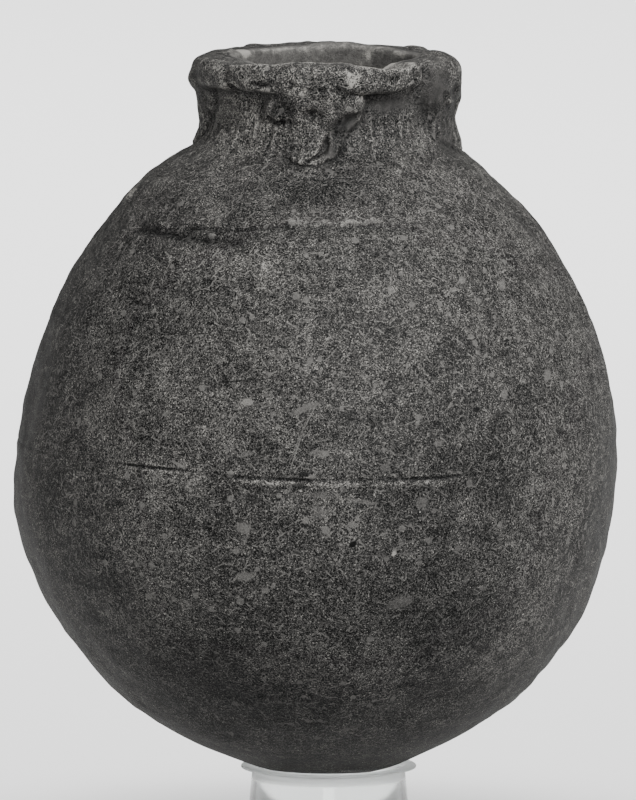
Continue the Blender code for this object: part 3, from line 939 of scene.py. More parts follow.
def print_ridge_highlights():
    """The painted highlights on the ridges over the fingertips' prints, as strokes."""
    for angle, depth in zip(PRINT_ANGLES, PRINT_DEPTHS):
        cover = PRINT_COVER * depth ** 2
        for spread in (-RIDGE_SPREAD, RIDGE_SPREAD):
            end = (angle + spread, RIDGE_HEIGHTS[1])
            yield Mark((angle, RIDGE_HEIGHTS[0]), end, RIDGE_HALF_WIDTH, cover, RIDGE_HIGHLIGHT_TONE)


def waves(count, longest, shortest, seed):
    """Directions and phases of waves that add up to a wandering surface."""
    random = np.random.default_rng(seed)
    directions = random.normal(size=(count, 3))
    directions /= np.linalg.norm(directions, axis=1)[:, None]
    lengths = np.exp(random.uniform(math.log(shortest), math.log(longest), count))
    return directions * (2.0 * math.pi / lengths)[:, None], random.uniform(0, 2 * math.pi, count)


def wander(points, count, longest, shortest, seed):
    """A smooth random field over space, of about unit size."""
    turns, phases = waves(count, longest, shortest, seed)
    total = np.zeros(len(points))
    for turn, phase in zip(turns, phases):
        total += np.sin(points @ turn + phase)
    return total * math.sqrt(2.0 / count)


def on_shoulder(angle, height):
    """Places on the shoulder rolled out flat, in millimetres."""
    return np.stack((angle * GROOVE_RADIUS, height * SHOULDER_STRETCH, 0.0 * angle), axis=1)


def groove_cut(angle, height):
    """How deep the grooves on the shoulder are."""
    cut = np.zeros(len(angle))
    near = np.abs(height - GROOVE_HEIGHT) < GROOVE_REACH
    near &= np.abs(angle) < math.radians(GROOVE_SIDE)
    places = on_shoulder(angle[near], height[near])
    for groove in GROOVES:
        path = np.array([(math.radians(degrees), high) for degrees, high in groove.path])
        path = on_shoulder(path[:, 0], path[:, 1])
        roll = Roll(tuple((*place, 0.0) for place in path))
        cut[near] = np.maximum(
            cut[near], groove.depth * bell(roll_field(places, roll), 0.0, groove.half_width)
        )
    return cut


def print_relief(angle, height):
    """The fingertips' prints: shallow dents, each with clay pushed up along its upper edge."""
    dip, half_height, half_width = PRINT_DIP
    around = bell(angle, math.radians(PRINT_DIP_ANGLE), half_width)
    out = -dip * bell(height, PRINT_HEIGHT, half_height) * around
    rise, reach_out, width = PRINT_LIP
    for degrees, depth in zip(PRINT_ANGLES, PRINT_DEPTHS):
        across = (angle - math.radians(degrees)) * PRINT_RADIUS / PRINT_HALF[0]
        up = (height - PRINT_HEIGHT) * SHOULDER_STRETCH / PRINT_HALF[1]
        reach = np.hypot(across, up)
        out -= depth * bell(reach, 0.0, PRINT_WIDTH)
        out += rise * depth * bell(reach, reach_out, width) * smooth_step(up, 0.2, 0.7)
    return out


def surface_relief(points, angle, height):
    """How far the outside lies out from the plain outline, apart from the crack."""
    out = sum(rise * wander(points, *rest) for rise, *rest in WALL_WAVES)
    out *= smooth_step(height, *WALL_WAVES_BAND)
    out += SWELL_RISE * bell(height, *SWELL_BAND) * smooth_step(-np.sin(angle), *SWELL_SIDE)
    around = (np.sin(angle) * NECK_RADIUS, np.cos(angle) * NECK_RADIUS, height / RIPPLE_STRETCH)
    ripples = wander(np.stack(around, axis=1), *RIPPLE_WAVES)
    out += RIPPLE_RISE * ripples * bell(height, *RIPPLE_BAND)
    return out - groove_cut(angle, height) + print_relief(angle, height)


def crack_relief(angle, gap):
    """The crack's cut and the ledge under it, by the height above its line."""
    cut = track(angle, CRACK_DEPTH) * CRACK_CUT * bell(gap, 0.0, CRACK_HALF_WIDTH)
    ledge = track(angle, CRACK_LEDGE) * LEDGE_RISE
    return ledge * bell(gap, -1.8 * LEDGE_HALF_WIDTH, LEDGE_HALF_WIDTH) - cut


def blotch_sum(blotches, angle, height):
    """The strengths of patches with soft edges, summed."""
    total = np.zeros(len(angle))
    for blotch in blotches:
        middle = math.radians(blotch.angle)
        along = outer_radius(blotch.height) * np.sin(angle - middle) / blotch.half_width
        up = (height - blotch.height) / blotch.half_height
        near = np.cos(angle - middle) > 0.0
        total += blotch.strength * bell(np.hypot(along, up), 0.0, 1.0) * near
    return total


def tone_patches_and_painted_light(angle, height, radius, gap):
    """How much paler the surface is than its surroundings, or darker, below 0, with painted light."""
    # Patches, some of them painted light and shade, and painted shade in the grooves.
    pale = blotch_sum(PATCHES_WITH_PAINTED_LIGHT, angle, height) + GROOVE_PAINTED_SHADE * groove_cut(angle, height)
    # Painted shade in the crack, and a painted highlight on the ledge under it.
    for places, (strength, above, half_height) in (
        (CRACK_DEPTH, CRACK_PAINTED_SHADE), (CRACK_LEDGE, LEDGE_PAINTED_HIGHLIGHT),
    ):
        pale += strength * track(angle, places) * bell(gap, above, half_height)
    # A painted highlight over each print.
    for degrees, depth in zip(PRINT_ANGLES, PRINT_DEPTHS):
        along = (angle - math.radians(degrees)) * PRINT_RADIUS / PRINT_HIGHLIGHT_HALF[0]
        up = (height - PRINT_HIGHLIGHT_HEIGHT) / PRINT_HIGHLIGHT_HALF[1]
        pale += PRINT_PAINTED_HIGHLIGHT * depth * bell(np.hypot(along, up), 0.0, 1.0)
    along = (angle - math.radians(SPOT_ANGLE)) * BORE_RADIUS / SPOT_HALF[0]
    spot = bell(np.hypot(along, (height - SPOT_HEIGHT) / SPOT_HALF[1]), 0.0, 1.0)
    # Painted light over the mouth's inside, and its paler spot.
    inside = radius < BORE_RADIUS + INSIDE_REACH
    pale += (SPOT_PALE * spot + INSIDE_PAINTED_LIGHT * (height > INSIDE_HEIGHT)) * inside
    # A painted highlight along the rim's cut edge.
    above_cut = RIM_HEIGHT - trim_drop(angle, radius) - height
    edge = bell(above_cut, 0.0, EDGE_HALF_HEIGHT) * smooth_step(np.cos(angle), 0.6, 0.2)
    return pale + RIM_EDGE_PAINTED_HIGHLIGHT * edge


def smooth_skin(angle, height, radius):
    """Where the surface is smooth and free of speckle, from 0 to 1: in smears and inside the jar."""
    inside = (1.0 - smooth_step(radius, *SMOOTH_BAND)) * (height > INSIDE_HEIGHT)
    return np.clip(blotch_sum(SMEARS, angle, height) + MOST_SMOOTH * inside, 0.0, MOST_SMOOTH)


def ring_heights(curve, start_height, steps):
    """Points along a curve below a height, spaced by a step that depends on the height."""
    lengths = np.concatenate(([0.0], np.cumsum(np.linalg.norm(np.diff(curve, axis=0), axis=1))))
    along = np.interp(-start_height, -curve[:, 1], lengths)
    rings = []
    while along < lengths[-1] - 0.6 * steps(0.0):
        radius = np.interp(along, lengths, curve[:, 0])
        height = np.interp(along, lengths, curve[:, 1])
        rings.append((radius, height))
        along += steps(height)
    return rings


# Where the body's rings lie closer: a height, how far round it, and their spacing there.
FINE_STEPS = ((CRACK_HEIGHT, 2.6, 0.45), (CRACK_HEIGHT, 6.0, 1.0), (282.0, 7.0, 1.2))


def body_step(height):
    """The spacing of the body's rings: fine where the potter's marks are."""
    for middle, reach, step in FINE_STEPS:
        if abs(height - middle) < reach:
            return step
    return BAND_STEP if height > BAND_BOTTOM else BODY_STEP


class Skin:
    """Collects the jar's corners and faces."""

    def __init__(self, corners, faces):
        self.corners = [corners]
        self.faces = [faces]
        self.size = len(corners)

    def ring(self, radius, height, count):
        """A new ring of corners, and their numbers. Its first stands over the net's first."""
        angle = (np.arange(count) / count + 0.5 / NECK_STEPS) * 2.0 * math.pi
        self.corners.append(neck_points(angle, np.full(count, radius), np.full(count, height)))
        self.size += count
        return np.arange(self.size - count, self.size)

    def join(self, upper, lower, flip):
        """Faces between two rings. The lower one has as many corners, or half as many."""
        if len(upper) == len(lower):
            self.add(np.stack((upper, lower, np.roll(lower, -1), np.roll(upper, -1)), axis=1), flip)
            return
        even, odd, after = upper[0::2], upper[1::2], np.roll(upper[0::2], -1)
        beside = np.roll(lower, -1)
        for corners in ((even, lower, odd), (odd, lower, beside), (odd, beside, after)):
            self.add(np.stack(corners, axis=1), flip)

    def close(self, ring, height, flip):
        """Faces from the last ring to one corner on the axis."""
        self.corners.append(np.array([[0.0, 0.0, height]]))
        tip = np.full(len(ring), self.size)
        self.size += 1
        self.add(np.stack((ring, tip, np.roll(ring, -1)), axis=1), flip)

    def add(self, faces, flip):
        self.faces.append(faces[:, ::-1] if flip else faces)


def jar_skin():
    """The whole surface, straight on its axis and without the body's marks."""
    corners, faces, inner_loop, outer_loop = neck_net()
    fixed = np.zeros(len(corners), bool)
    fixed[inner_loop] = True
    fixed[outer_loop] = True
    corners = settled(corners, faces, fixed)
    skin = Skin(corners, faces)
    last = outer_loop
    start = corners[outer_loop, 2].mean() - FIRST_GAPS[0]
    for radius, height in ring_heights(OUTSIDE, start, body_step):
        ring = skin.ring(radius, height, NECK_STEPS if height > BAND_BOTTOM else NECK_STEPS // 2)
        skin.join(last, ring, False)
        last = ring
    skin.close(last, 0.0, False)
    last = inner_loop
    start = corners[inner_loop, 2].mean() - FIRST_GAPS[1]
    for radius, height in ring_heights(INSIDE, start, lambda _: INNER_STEP):
        ring = skin.ring(radius, height, max(NECK_STEPS // 4, len(last) // 2))
        skin.join(last, ring, True)
        last = ring
    skin.close(last, BASE_WALL, True)
    return np.concatenate(skin.corners), skin.faces


def add_values(mesh, name, values):
    """Gives the mesh a named value at each corner."""
    mesh.attributes.new(name, "FLOAT", "POINT").data.foreach_set("value", values.astype("f"))


def corner_normals(mesh):
    normals = np.empty(len(mesh.vertices) * 3, "f")
    mesh.vertex_normals.foreach_get("vector", normals)
    return normals.reshape(-1, 3).astype(float)


def mesh_neighbours(mesh):
    pairs = np.empty(len(mesh.edges) * 2, "i")
    mesh.edges.foreach_get("vertices", pairs)
    return Neighbours(pairs.reshape(-1, 2), len(mesh.vertices))


def edge_wear_and_crease_shades(near, points, normals):
    """How sharply the surface bends at each corner: above 0 on edges, below 0 in hollows."""
    step = points[near.beside] - points[near.here]
    fall = -(step * normals[near.here]).sum(axis=1) / np.maximum((step ** 2).sum(axis=1), 1e-9)
    bend = 2.0 * near.mean(fall)
    for _ in range(EDGE_ROUNDS):
        bend = (1.0 - EDGE_SPREAD) * bend + EDGE_SPREAD * near.mean(bend[near.beside])
    return np.clip(bend, *EDGE_LIMITS)


def relief_highlight_and_shade(near, points, normals):
    """How far each corner stands out from the surface when that is smoothed over a few mm."""
    smooth = points
    for _ in range(PROUD_ROUNDS):
        smooth = (1.0 - PROUD_SPREAD) * smooth + PROUD_SPREAD * near.middle(smooth)
    return ((points - smooth) * normals).sum(axis=1)


def add_object(name, data):
    made = bpy.data.objects.new(name, data)
    bpy.context.scene.collection.objects.link(made)
    return made


def make_vase():
    """The jar's mesh: the skin with its marks, moved to where the hand-built wall stands."""
    corners, faces = jar_skin()
    angle = np.arctan2(corners[:, 0], -corners[:, 1])
    height = corners[:, 2]
    radius = np.hypot(corners[:, 0], corners[:, 1])
    mesh = bpy.data.meshes.new("vase")
    mesh.from_pydata(corners.tolist(), [], [face.tolist() for part in faces for face in part])
    mesh.update()
    normals = corner_normals(mesh)

    plain = outer_radius(height)
    outside = smooth_step(radius, plain - OUTSIDE_DEPTH, OUTSIDE_FADE)
    crack_line = track(angle, CRACK_LINE)
    bent = height + outside * (crack_line - CRACK_HEIGHT) * bell(height, CRACK_HEIGHT, BEND_REACH)
    radius = radius + outside * (outer_radius(bent) - plain)
    moved = neck_points(angle, radius, bent)
    gap = bent - crack_line
    out = surface_relief(moved, angle, bent) + crack_relief(angle, gap)
    moved = moved + normals * (out * outside)[:, None]
    moved[:, 0] += wall_centre(bent)
    moved[:, 2] += JAR_HEIGHT
    under = outside * (height < BASE_SAG_HEIGHT)
    moved[:, 2] -= BASE_SAG * under * (1.0 - smooth_step(radius, *BASE_SAG_BAND))
    mesh.vertices.foreach_set("co", (moved * MM).ravel())
    mesh.update()
    mesh.shade_smooth()

    normals = corner_normals(mesh)
    near = mesh_neighbours(mesh)
    # Lightens edges as wear and painted highlight, and darkens creases as painted shade.
    add_values(mesh, "edge_wear_and_crease_shade", edge_wear_and_crease_shades(near, moved, normals))
    # Painted highlights on raised parts and painted shade in hollows, from the relief.
    proud = relief_highlight_and_shade(near, moved, normals) * smooth_step(bent, *PROUD_BAND)
    add_values(mesh, "relief_highlight_and_shade", np.clip(proud, *PROUD_LIMITS))
    add_values(mesh, "tone_patch_and_painted_light", tone_patches_and_painted_light(angle, bent, radius, gap))
    add_values(mesh, "smooth_skin", smooth_skin(angle, bent, radius))
    return add_object("vase_piece", mesh)


# The clear ring that the jar stands in. These are the solid's sizes, apart from the top, which is
# 1.4 mm lower, as the jar's base hangs lower, and from the flange, which is a little thinner.
STAND_HEIGHT = 24.0
SEAT_RADIUS = 38.5
SEAT_WIDTH = 3.4
SEAT_FALL = 0.95
STAND_OFFSET = 1.3
FLANGE_RADIUS = 43.9
FLANGE_DROP = 0.7
FLANGE_EDGE = 0.9
FLANGE_ROOT = 2.0
ROOT_ROUND = 0.7
TUBE_RADIUS = 38.2
FOOT_RADIUS = 40.4
TUBE_WALL = 3.0
POLISHED_EDGE = 0.35
STAND_STEPS = 160
EDGE_STEPS = 4


def rounded(outline, reach, steps):
    """The closed outline with each corner turned into a small curve."""
    points = []
    for index, corner in enumerate(outline):
        corner = Vector(corner)
        before = Vector(outline[index - 1]) - corner
        after = Vector(outline[(index + 1) % len(outline)]) - corner
        first = corner + before.normalized() * min(reach, 0.4 * before.length)
        last = corner + after.normalized() * min(reach, 0.4 * after.length)
        for step in range(steps + 1):
            share = step / steps
            points.append(first.lerp(corner, share).lerp(corner.lerp(last, share), share))
    return points


def make_stand():
    """The ring, turned from a clear tube: a seat, a sloping flange and a tube that widens down."""
    flange_height = STAND_HEIGHT - FLANGE_DROP
    root_height = STAND_HEIGHT - FLANGE_ROOT
    tube_top = root_height - ROOT_ROUND
    outline = rounded((
        (SEAT_RADIUS, STAND_HEIGHT),
        (FLANGE_RADIUS, flange_height),
        (FLANGE_RADIUS, flange_height - FLANGE_EDGE),
        (TUBE_RADIUS + ROOT_ROUND, root_height),
        (TUBE_RADIUS, tube_top),
        (FOOT_RADIUS, 0.0),
        (FOOT_RADIUS - TUBE_WALL, 0.0),
        (TUBE_RADIUS - TUBE_WALL, tube_top),
        (SEAT_RADIUS - SEAT_WIDTH, STAND_HEIGHT - SEAT_FALL),
    ), POLISHED_EDGE, EDGE_STEPS)
    middle = wall_centre(0.0) + STAND_OFFSET
    corners = []
    for radius, height in outline:
        for step in range(STAND_STEPS):
            turn = 2.0 * math.pi * step / STAND_STEPS
            place = (middle + radius * math.cos(turn), radius * math.sin(turn), height)
            corners.append(tuple(MM * value for value in place))
    above = np.arange(len(corners)).reshape(-1, STAND_STEPS)
    below = np.roll(above, -1, axis=0)
    faces = np.stack((above, below, np.roll(below, -1, axis=1), np.roll(above, -1, axis=1)), axis=2)
    mesh = bpy.data.meshes.new("ring_stand")
    mesh.from_pydata(corners, [], faces.reshape(-1, 4).tolist())
    mesh.shade_smooth()
    return add_object("ring_stand_piece", mesh)


def linear(hex_colour):
    """An sRGB hex colour as linear red, green, blue and alpha."""
    values = []
    for start in (0, 2, 4):
        value = int(hex_colour[start:start + 2], 16) / 255.0
        values.append(value / 12.92 if value <= 0.04045 else ((value + 0.055) / 1.055) ** 2.4)
    return (*values, 1.0)


def node(tree, kind, settings=(), links=(), **properties):
    """Adds a shader node, sets its properties and its sockets' values, and links its sockets. A
    link comes from a socket, or from a node's first output."""
    made = tree.nodes.new("ShaderNode" + kind)
    for name, value in properties.items():
        setattr(made, name, value)
    for name, value in dict(settings).items():
        made.inputs[name].default_value = value
    for name, source in dict(links).items():
        output = source.outputs[0] if isinstance(source, bpy.types.Node) else source
        tree.links.new(output, made.inputs[name])
    return made


def blank_material(name):
    made = bpy.data.materials.new(name)
    made.use_nodes = True
    made.node_tree.nodes.clear()
    return made


class Strokes(NamedTuple):
    """Short pale strokes, one to a cell: the cell's size, a stroke's width and length, in mm, the
    share of cells that have one, and its tone."""

    cell: float
    width: float
    length: float
    share: float
    tone: float


STROKES = (
    Strokes(4.2, 0.8, 3.6, 0.5, 0.86),
    Strokes(8.0, 0.9, 6.8, 0.6, 0.86),
)
STROKE_COVER = 0.9

# Thin flakes of crust, one to a cell of this size in mm: the share of cells without one, the
# largest flake's radius and its soft edge's width as shares of a cell, how much it covers, its
# tone, and how far it stands up, in mm.
FLAKE_CELL = 6.5
FLAKE_FREE = 0.4
FLAKE_RADIUS = 0.34
FLAKE_EDGE = 0.06
FLAKE_COVER = 0.85
FLAKE_TONE = 0.8
FLAKE_RISE = 0.08

# Pale curly lines that rootlets etched while the jar lay buried: the size of their loops in mm, how
# wide they are as a share of the noise's range, and their tone.
ROOT_MARKS = ((1.5, 0.05, 0.78), (3.0, 0.035, 0.8), (6.0, 0.02, 0.82))
ROOT_COVER = 0.5

# How far in and out of the surface a placed mark reaches, in mm, where its soft edge ends and
# starts as shares of its size, and below what half width it isn't given a wavy outline.
MARK_DEPTH = 6.0
MARK_EDGE = (1.15, 0.7)
MARK_THIN = 0.7

# The wavy outline of flakes, strokes, lines and marks: the size of its waves and how far they
# reach to and fro, in mm.
WOBBLE_SIZE = 1.6
WOBBLE_REACH = 1.5

# Patterns in the ware's tone: what each is, its size in mm, its detail, how its three axes are
# squeezed, how much it lightens or darkens, and how far it stands up, in mm.
WARE_PATTERNS = (
    ("smoke_clouds", 60.0, 2.0, (1.0, 1.0, 1.0), 0.34, 0.0),
    ("burial_stains", 14.0, 3.0, (1.0, 1.0, 1.0), 0.6, 0.3),
    ("patchy_polish", 5.0, 3.0, (1.0, 1.0, 1.0), 0.6, 0.3),
    ("wiping_streaks", 3.2, 2.0, (0.16, 0.16, 1.0), 0.26, 0.1),
    ("coarse_temper", 1.7, 2.0, (1.0, 1.0, 1.0), 0.42, 0.3),
    ("fine_temper", 0.68, 1.0, (1.0, 1.0, 1.0), 2.7, 0.28),
)

# The ware's tone before the patterns, and the tone of its smooth skin.
BODY_TONE = 0.37
SMOOTH_TONE = 0.5

# How much the values on the mesh lighten the ware, and how strongly patches in the polish change
# that, round which share of it. The patches hold painted shade and highlights, the bend paints
# highlights on edges and shade in creases beside their wear, and the relief paints highlights on
# raised parts and shade in hollows.
TONE_WEIGHTS = (("tone_patch_and_painted_light", 0.42), ("edge_wear_and_crease_shade", 0.6), ("relief_highlight_and_shade", 0.07))
PATCH_STRENGTH = 1.8
PATCH_MEAN = 0.9

# From the ware's tone to its colour.
WARE_COLOURS = (
    (0.0, "020202"), (0.2, "0a0a0a"), (0.4, "1f1f1e"), (0.6, "302f2e"), (0.8, "474644"),
    (1.0, "6d6b67"),
)

# Pale ware is the most worn: how rough it is at a dark and at a pale tone.
MATT_TONES = (0.1, 0.7)
MATT_ROUGHNESS = (0.5, 0.78)


def stroke_layer(tree, place, facing, strokes):
    """Where the strokes of one size are, from 0 to 1. Each lies its own way in the surface."""
    cells = node(tree, "TexVoronoi", {"Scale": 1.0 / strokes.cell}, {"Vector": place})
    offset = node(
        tree, "VectorMath", (), {0: place, 1: cells.outputs["Position"]}, operation="SUBTRACT"
    )
    way = node(
        tree, "VectorMath", {1: (0.5, 0.5, 0.5)}, {0: cells.outputs["Color"]},
        operation="SUBTRACT",
    )
    flat = []
    for vector in (offset, way):
        out = node(tree, "VectorMath", (), {0: vector, 1: facing}, operation="PROJECT")
        flat.append(node(tree, "VectorMath", (), {0: vector, 1: out}, operation="SUBTRACT"))
    way = node(tree, "VectorMath", (), {0: flat[1]}, operation="NORMALIZE")
    cross = node(tree, "VectorMath", (), {0: flat[0], 1: way}, operation="CROSS_PRODUCT")
    shown = node(tree, "SeparateColor", (), {"Color": cells.outputs["Color"]})
    shown = node(
        tree, "MapRange",
        {"From Min": 1.0 - strokes.share, "From Max": 1.25 - strokes.share, "To Max": STROKE_COVER},
        {"Value": shown},
    )
    for vector, edge, full in (
        (cross, 0.5 * strokes.width, 0.15 * strokes.width),
        (flat[0], 0.5 * strokes.length, 0.35 * strokes.length),
    ):
        away = node(tree, "VectorMath", (), {0: vector}, operation="LENGTH").outputs["Value"]
        near = node(tree, "MapRange", {"From Min": edge, "From Max": full}, {"Value": away})
        shown = node(tree, "Math", (), {0: shown, 1: near}, operation="MULTIPLY")
    return shown


def flakes(tree, place):
    """Where thin oval flakes of pale crust sit on the polish, from 0 to 1."""
    cells = node(tree, "TexVoronoi", {"Scale": 1.0 / FLAKE_CELL}, {"Vector": place})
    pick = node(tree, "SeparateColor", (), {"Color": cells.outputs["Color"]})
    radius = node(
        tree, "MapRange", {"From Min": FLAKE_FREE, "From Max": 1.0, "To Max": FLAKE_RADIUS},
        {"Value": pick.outputs["Green"]},
    )
    inside = node(tree, "Math", (), {0: radius, 1: cells}, operation="SUBTRACT")
    return node(
        tree, "MapRange", {"From Max": FLAKE_EDGE, "To Max": FLAKE_COVER}, {"Value": inside}
    )


def root_marks(tree, place, size, width):
    """Where the thin curly lines of one size lie, from 0 to 1."""
    loops = node(tree, "TexNoise", {"Scale": 1.0 / size, "Detail": 0.0}, {"Vector": place})
    level = node(tree, "Math", {1: 0.5}, {0: loops}, operation="SUBTRACT")
    away = node(tree, "Math", (), {0: level}, operation="ABSOLUTE")
    return node(
        tree, "MapRange", {"From Min": width, "From Max": 0.3 * width, "To Max": ROOT_COVER},
        {"Value": away},
    )


def on_jar(angle, height):
    """A place on the jar's outside, from its (degrees, height)."""
    turn = math.radians(angle)
    radius = float(outer_radius(height))
    across = float(wall_centre(height)) + radius * math.sin(turn)
    return Vector((across, -radius * math.cos(turn), height + JAR_HEIGHT))


def mark_layer(tree, place, mark):
    """How much one mark covers, from 0 to 1."""
    start, end = on_jar(*mark.start), on_jar(*mark.end)
    along = end - start
    aside = (start - Vector((0.0, 0.0, JAR_HEIGHT + BELLY_HEIGHT))).cross(along)
    out = along.cross(aside)
    turn = Matrix([way.normalized() for way in (along, aside, out)]).transposed().to_euler()
    size = (0.5 * along.length + mark.half_width, mark.half_width, MARK_DEPTH)
    near = node(
        tree, "Mapping", {"Location": 0.5 * (start + end), "Rotation": turn, "Scale": size},
        {"Vector": place}, vector_type="TEXTURE",
    )
    away = node(tree, "VectorMath", (), {0: near}, operation="LENGTH").outputs["Value"]
    return node(
        tree, "MapRange",
        {"From Min": MARK_EDGE[0], "From Max": MARK_EDGE[1], "To Max": mark.cover},
        {"Value": away},
    )


def ware_covers(tree, place, curly, facing, raised):
    """What lies on the ware, one layer after the other: its tone and how much it covers."""
    yield FLAKE_TONE, raised
    for strokes in STROKES:
        yield strokes.tone, stroke_layer(tree, curly, facing, strokes)
    for size, width, tone in ROOT_MARKS:
        yield tone, root_marks(tree, curly, size, width)
    for mark in (*MARKS, *print_ridge_highlights()):
        outline = place if mark.half_width < MARK_THIN else curly
        yield mark.tone, mark_layer(tree, outline, mark)
    smooth = node(tree, "Attribute", attribute_name="smooth_skin")
    yield SMOOTH_TONE, smooth.outputs["Fac"]


def burnished_grey_ware():
    """Grey-black earthenware, rubbed with a pebble while leather hard and fired in smoke.

    Wear and burial have broken the polish up. The eye gets a dull dark grey with cloudy patches,
    a low sheen, and a dense speckle of pale salts, fine scratches and dark pits. The temper is
    drawn about twice as coarse as the real grit, which is too fine to show.
    """
    made = blank_material("burnished_grey_ware")
    tree = made.node_tree
    source = node(tree, "TexCoord")
    place = node(
        tree, "VectorMath", {"Scale": 1.0 / MM}, {0: source.outputs["Object"]}, operation="SCALE"
    )
    tone = None
    height = None
    patterns = {}
    for name, size, detail, stretch, weight, rise in WARE_PATTERNS:
        stretched = node(tree, "VectorMath", {1: stretch}, {0: place}, operation="MULTIPLY")
        pattern = node(
            tree, "TexNoise",
            {"Scale": 1.0 / size, "Detail": detail, "Roughness": 0.6, "Distortion": 0.6},
            {"Vector": stretched}, label=name,
        )
        patterns[name] = node(tree, "Math", {1: 0.5}, {0: pattern}, operation="SUBTRACT")
        totals = []
        for share, so_far, start in ((weight, tone, BODY_TONE), (rise, height, 0.0)):
            links = {0: patterns[name], 2: so_far} if so_far else {0: patterns[name]}
            totals.append(node(tree, "Math", {1: share, 2: start}, links, operation="MULTIPLY_ADD"))
        tone, height = totals

    waves = node(
        tree, "TexNoise", {"Scale": 1.0 / WOBBLE_SIZE, "Detail": 1.0}, {"Vector": place}
    )
    wobble = node(
        tree, "VectorMath", {1: (WOBBLE_REACH,) * 3, 2: (-0.5 * WOBBLE_REACH,) * 3},
        {0: waves.outputs["Color"]}, operation="MULTIPLY_ADD",
    )
    curly = node(tree, "VectorMath", (), {0: place, 1: wobble}, operation="ADD")
    raised = flakes(tree, curly)
    height = node(tree, "Math", {1: FLAKE_RISE}, {0: raised, 2: height}, operation="MULTIPLY_ADD")
    for shade, cover in ware_covers(tree, place, curly, source.outputs["Normal"], raised):
        tone = node(tree, "Mix", {3: shade}, {0: cover, 2: tone}, data_type="FLOAT")

    patchy = node(
        tree, "Math", {1: PATCH_STRENGTH, 2: PATCH_MEAN}, {0: patterns["patchy_polish"]},
        operation="MULTIPLY_ADD",
    )
    # These paint highlights on edges and raised parts and shade in creases and hollows, with real
    # patches and wear.
    for name, weight in TONE_WEIGHTS:
        value = node(tree, "Attribute", attribute_name=name).outputs["Fac"]
        part = node(tree, "Math", (), {0: value, 1: patchy}, operation="MULTIPLY")
        tone = node(tree, "Math", {1: weight}, {0: part, 2: tone}, operation="MULTIPLY_ADD")

    colours = node(tree, "ValToRGB", (), {"Fac": tone})
    ramp = colours.color_ramp
    while len(ramp.elements) < len(WARE_COLOURS):
        ramp.elements.new(0.5)
    for element, (position, colour) in zip(ramp.elements, WARE_COLOURS):
        element.position = position
        element.color = linear(colour)
    matt = node(
        tree, "MapRange",
        {"From Min": MATT_TONES[0], "From Max": MATT_TONES[1],
         "To Min": MATT_ROUGHNESS[0], "To Max": MATT_ROUGHNESS[1]},
        {"Value": tone},
    )
    bump = node(tree, "Bump", {"Strength": 1.0, "Distance": MM}, {"Height": height})
    shader = node(
        tree, "BsdfPrincipled", {"IOR": 1.45, "Specular IOR Level": 0.06, "Metallic": 0.0},
        {"Base Color": colours, "Roughness": matt, "Normal": bump},
    )
    node(tree, "OutputMaterial", (), {"Surface": shader})
    return made


# The ring's scuffs: how many lie on a millimetre across and up, and how much they blur it. Between
# two heights it turns from polished to satin, with these roughnesses.
SCUFF_SPREAD = (0.2, 0.2, 2.0)
SCUFF_HAZE = 0.08
SATIN_BAND = (STAND_HEIGHT - 8.0, STAND_HEIGHT - 5.0)
SATIN_ROUGHNESS = (0.03, 0.6)


def polished_clear_acrylic():
    """Cast acrylic tube, turned and flame polished, with a seat and flange that jars have rubbed.

    The eye gets clear plastic with faint level scuffs, and a satin band at the top.
    """
    made = blank_material("polished_clear_acrylic")
    tree = made.node_tree
    source = node(tree, "TexCoord").outputs["Object"]
    spread = [count / MM for count in SCUFF_SPREAD]
    place = node(tree, "VectorMath", {1: spread}, {0: source}, operation="MULTIPLY")
    scuffs = node(tree, "TexNoise", {"Scale": 1.0, "Detail": 3.0}, {"Vector": place})
    level = node(tree, "SeparateXYZ", (), {"Vector": source})
    satin = node(
        tree, "MapRange",
        {"From Min": SATIN_BAND[0] * MM, "From Max": SATIN_BAND[1] * MM,
         "To Min": SATIN_ROUGHNESS[0], "To Max": SATIN_ROUGHNESS[1]},
        {"Value": level.outputs["Z"]},
    )
    haze = node(tree, "Math", {1: SCUFF_HAZE}, {0: scuffs, 2: satin}, operation="MULTIPLY_ADD")
    bump = node(tree, "Bump", {"Strength": 0.15, "Distance": 0.02 * MM}, {"Height": scuffs})
    shader = node(
        tree, "BsdfPrincipled",
        {"Base Color": linear("f3f5f4"), "IOR": 1.49, "Transmission Weight": 1.0, "Metallic": 0.0},
        {"Roughness": haze, "Normal": bump},
    )
    node(tree, "OutputMaterial", (), {"Surface": shader})
    return made


# The paper floor's radius in metres, in how many steps its edge is cut, and how bright the even
# light from all round is.
FLOOR_RADIUS = 6.0
FLOOR_STEPS = 96
ROOM_LIGHT = 0.3


def stage():
    """A round pale paper floor, in even light from all round."""
    corners = [(0.0, 0.0, 0.0)]
    for step in range(FLOOR_STEPS):
        turn = 2.0 * math.pi * step / FLOOR_STEPS
        corners.append((FLOOR_RADIUS * math.cos(turn), FLOOR_RADIUS * math.sin(turn), 0.0))
    faces = [(0, 1 + step, 1 + (step + 1) % FLOOR_STEPS) for step in range(FLOOR_STEPS)]
    mesh = bpy.data.meshes.new("floor")
    mesh.from_pydata(corners, [], faces)
    floor = add_object("floor", mesh)
    # Uncoated white paper, rolled out flat. The eye gets an even pale ground without a sheen.
    made = blank_material("studio_paper")
    paper = {"Base Color": linear("f0f0f0"), "Roughness": 0.95, "Specular IOR Level": 0.0}
    shader = node(made.node_tree, "BsdfPrincipled", paper)
    node(made.node_tree, "OutputMaterial", (), {"Surface": shader})
    mesh.materials.append(made)
    world = bpy.data.worlds.new("studio")
    bpy.context.scene.world = world
    world.use_nodes = True
    background = world.node_tree.nodes["Background"]
    background.inputs["Color"].default_value = (1.0, 1.0, 1.0, 1.0)
    background.inputs["Strength"].default_value = ROOM_LIGHT
    return floor


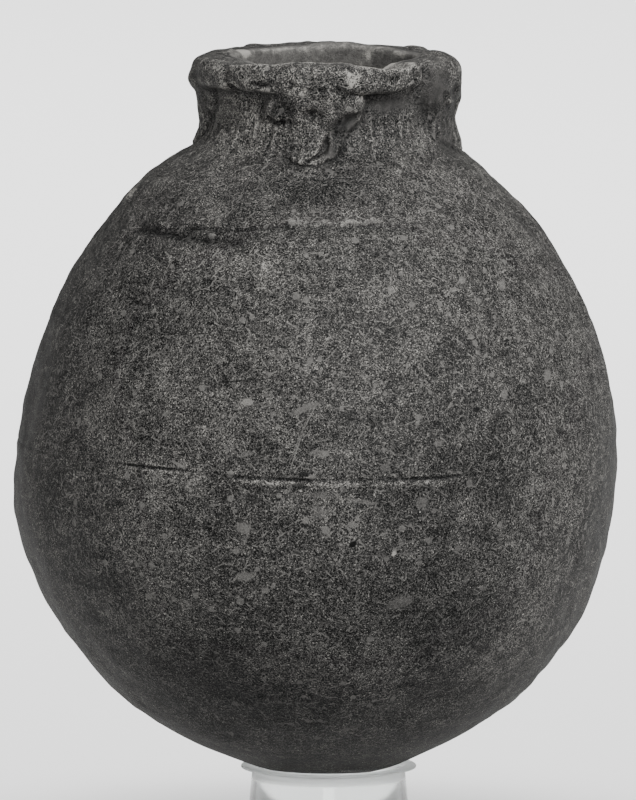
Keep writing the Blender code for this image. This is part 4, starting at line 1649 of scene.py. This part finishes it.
def area_light(name, place, target, size, power, flagged=None, lone=None):
    """A round soft light. It leaves a flagged object unlit, or lights a lone object and nothing
    else, which then also casts the only shadows in it."""
    data = bpy.data.lights.new(name, "AREA")
    data.shape = "DISK"
    data.size = size
    data.energy = power
    made = add_object(name, data)
    made.location = place
    made.rotation_euler = (Vector(target) - Vector(place)).to_track_quat("-Z", "Y").to_euler()
    if flagged or lone:
        linked = bpy.data.collections.new(name + "_linking")
        linked.objects.link(flagged or lone)
        state = "EXCLUDE" if flagged else "INCLUDE"
        linked.collection_objects[0].light_linking.link_state = state
        made.light_linking.receiver_collection = linked
        if lone:
            made.light_linking.blocker_collection = linked


def camera():
    data = bpy.data.cameras.new("camera")
    data.sensor_fit = "VERTICAL"
    data.sensor_height = 24.0
    data.lens = 600.0
    data.clip_end = 60.0
    made = add_object("camera", data)
    target = Vector((0.0005, 0.0, 0.2073))
    elevation = math.radians(6.8)
    distance = 10.0
    made.location = target + distance * Vector((0.0, -math.cos(elevation), math.sin(elevation)))
    made.rotation_euler = (target - made.location).to_track_quat("-Z", "Y").to_euler()
    bpy.context.scene.camera = made


vase = make_vase()
vase.data.materials.append(burnished_grey_ware())
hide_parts("vase")
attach(vase, "root")

stand = make_stand()
stand.data.materials.append(polished_clear_acrylic())
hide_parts("ring_stand")
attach(stand, "root")

floor = stage()
area_light("key", (2.0, -4.2, 4.2), (0.0, 0.0, 0.2), 1.5, 940.0, flagged=floor)
area_light("front_fill", (0.0, -4.6, 1.0), (0.0, 0.0, 0.2), 1.5, 80.0, flagged=floor)
area_light("right_side", (4.0, -0.8, 2.0), (0.0, 0.0, 0.2), 1.6, 150.0, flagged=floor)
area_light("left_fill", (-3.4, -2.8, 2.4), (0.0, 0.0, 0.2), 2.0, 55.0, flagged=floor)
area_light("overhead", (0.0, 1.7, 4.5), (0.0, 1.7, 0.0), 5.0, 180.0)
area_light("table_wash", (0.0, 3.2, 4.5), (0.0, 3.2, 0.0), 5.0, 540.0, lone=floor)
area_light("table_front", (0.0, -0.45, 0.9), (0.0, -0.45, 0.0), 0.5, 3.0, lone=floor)
camera()
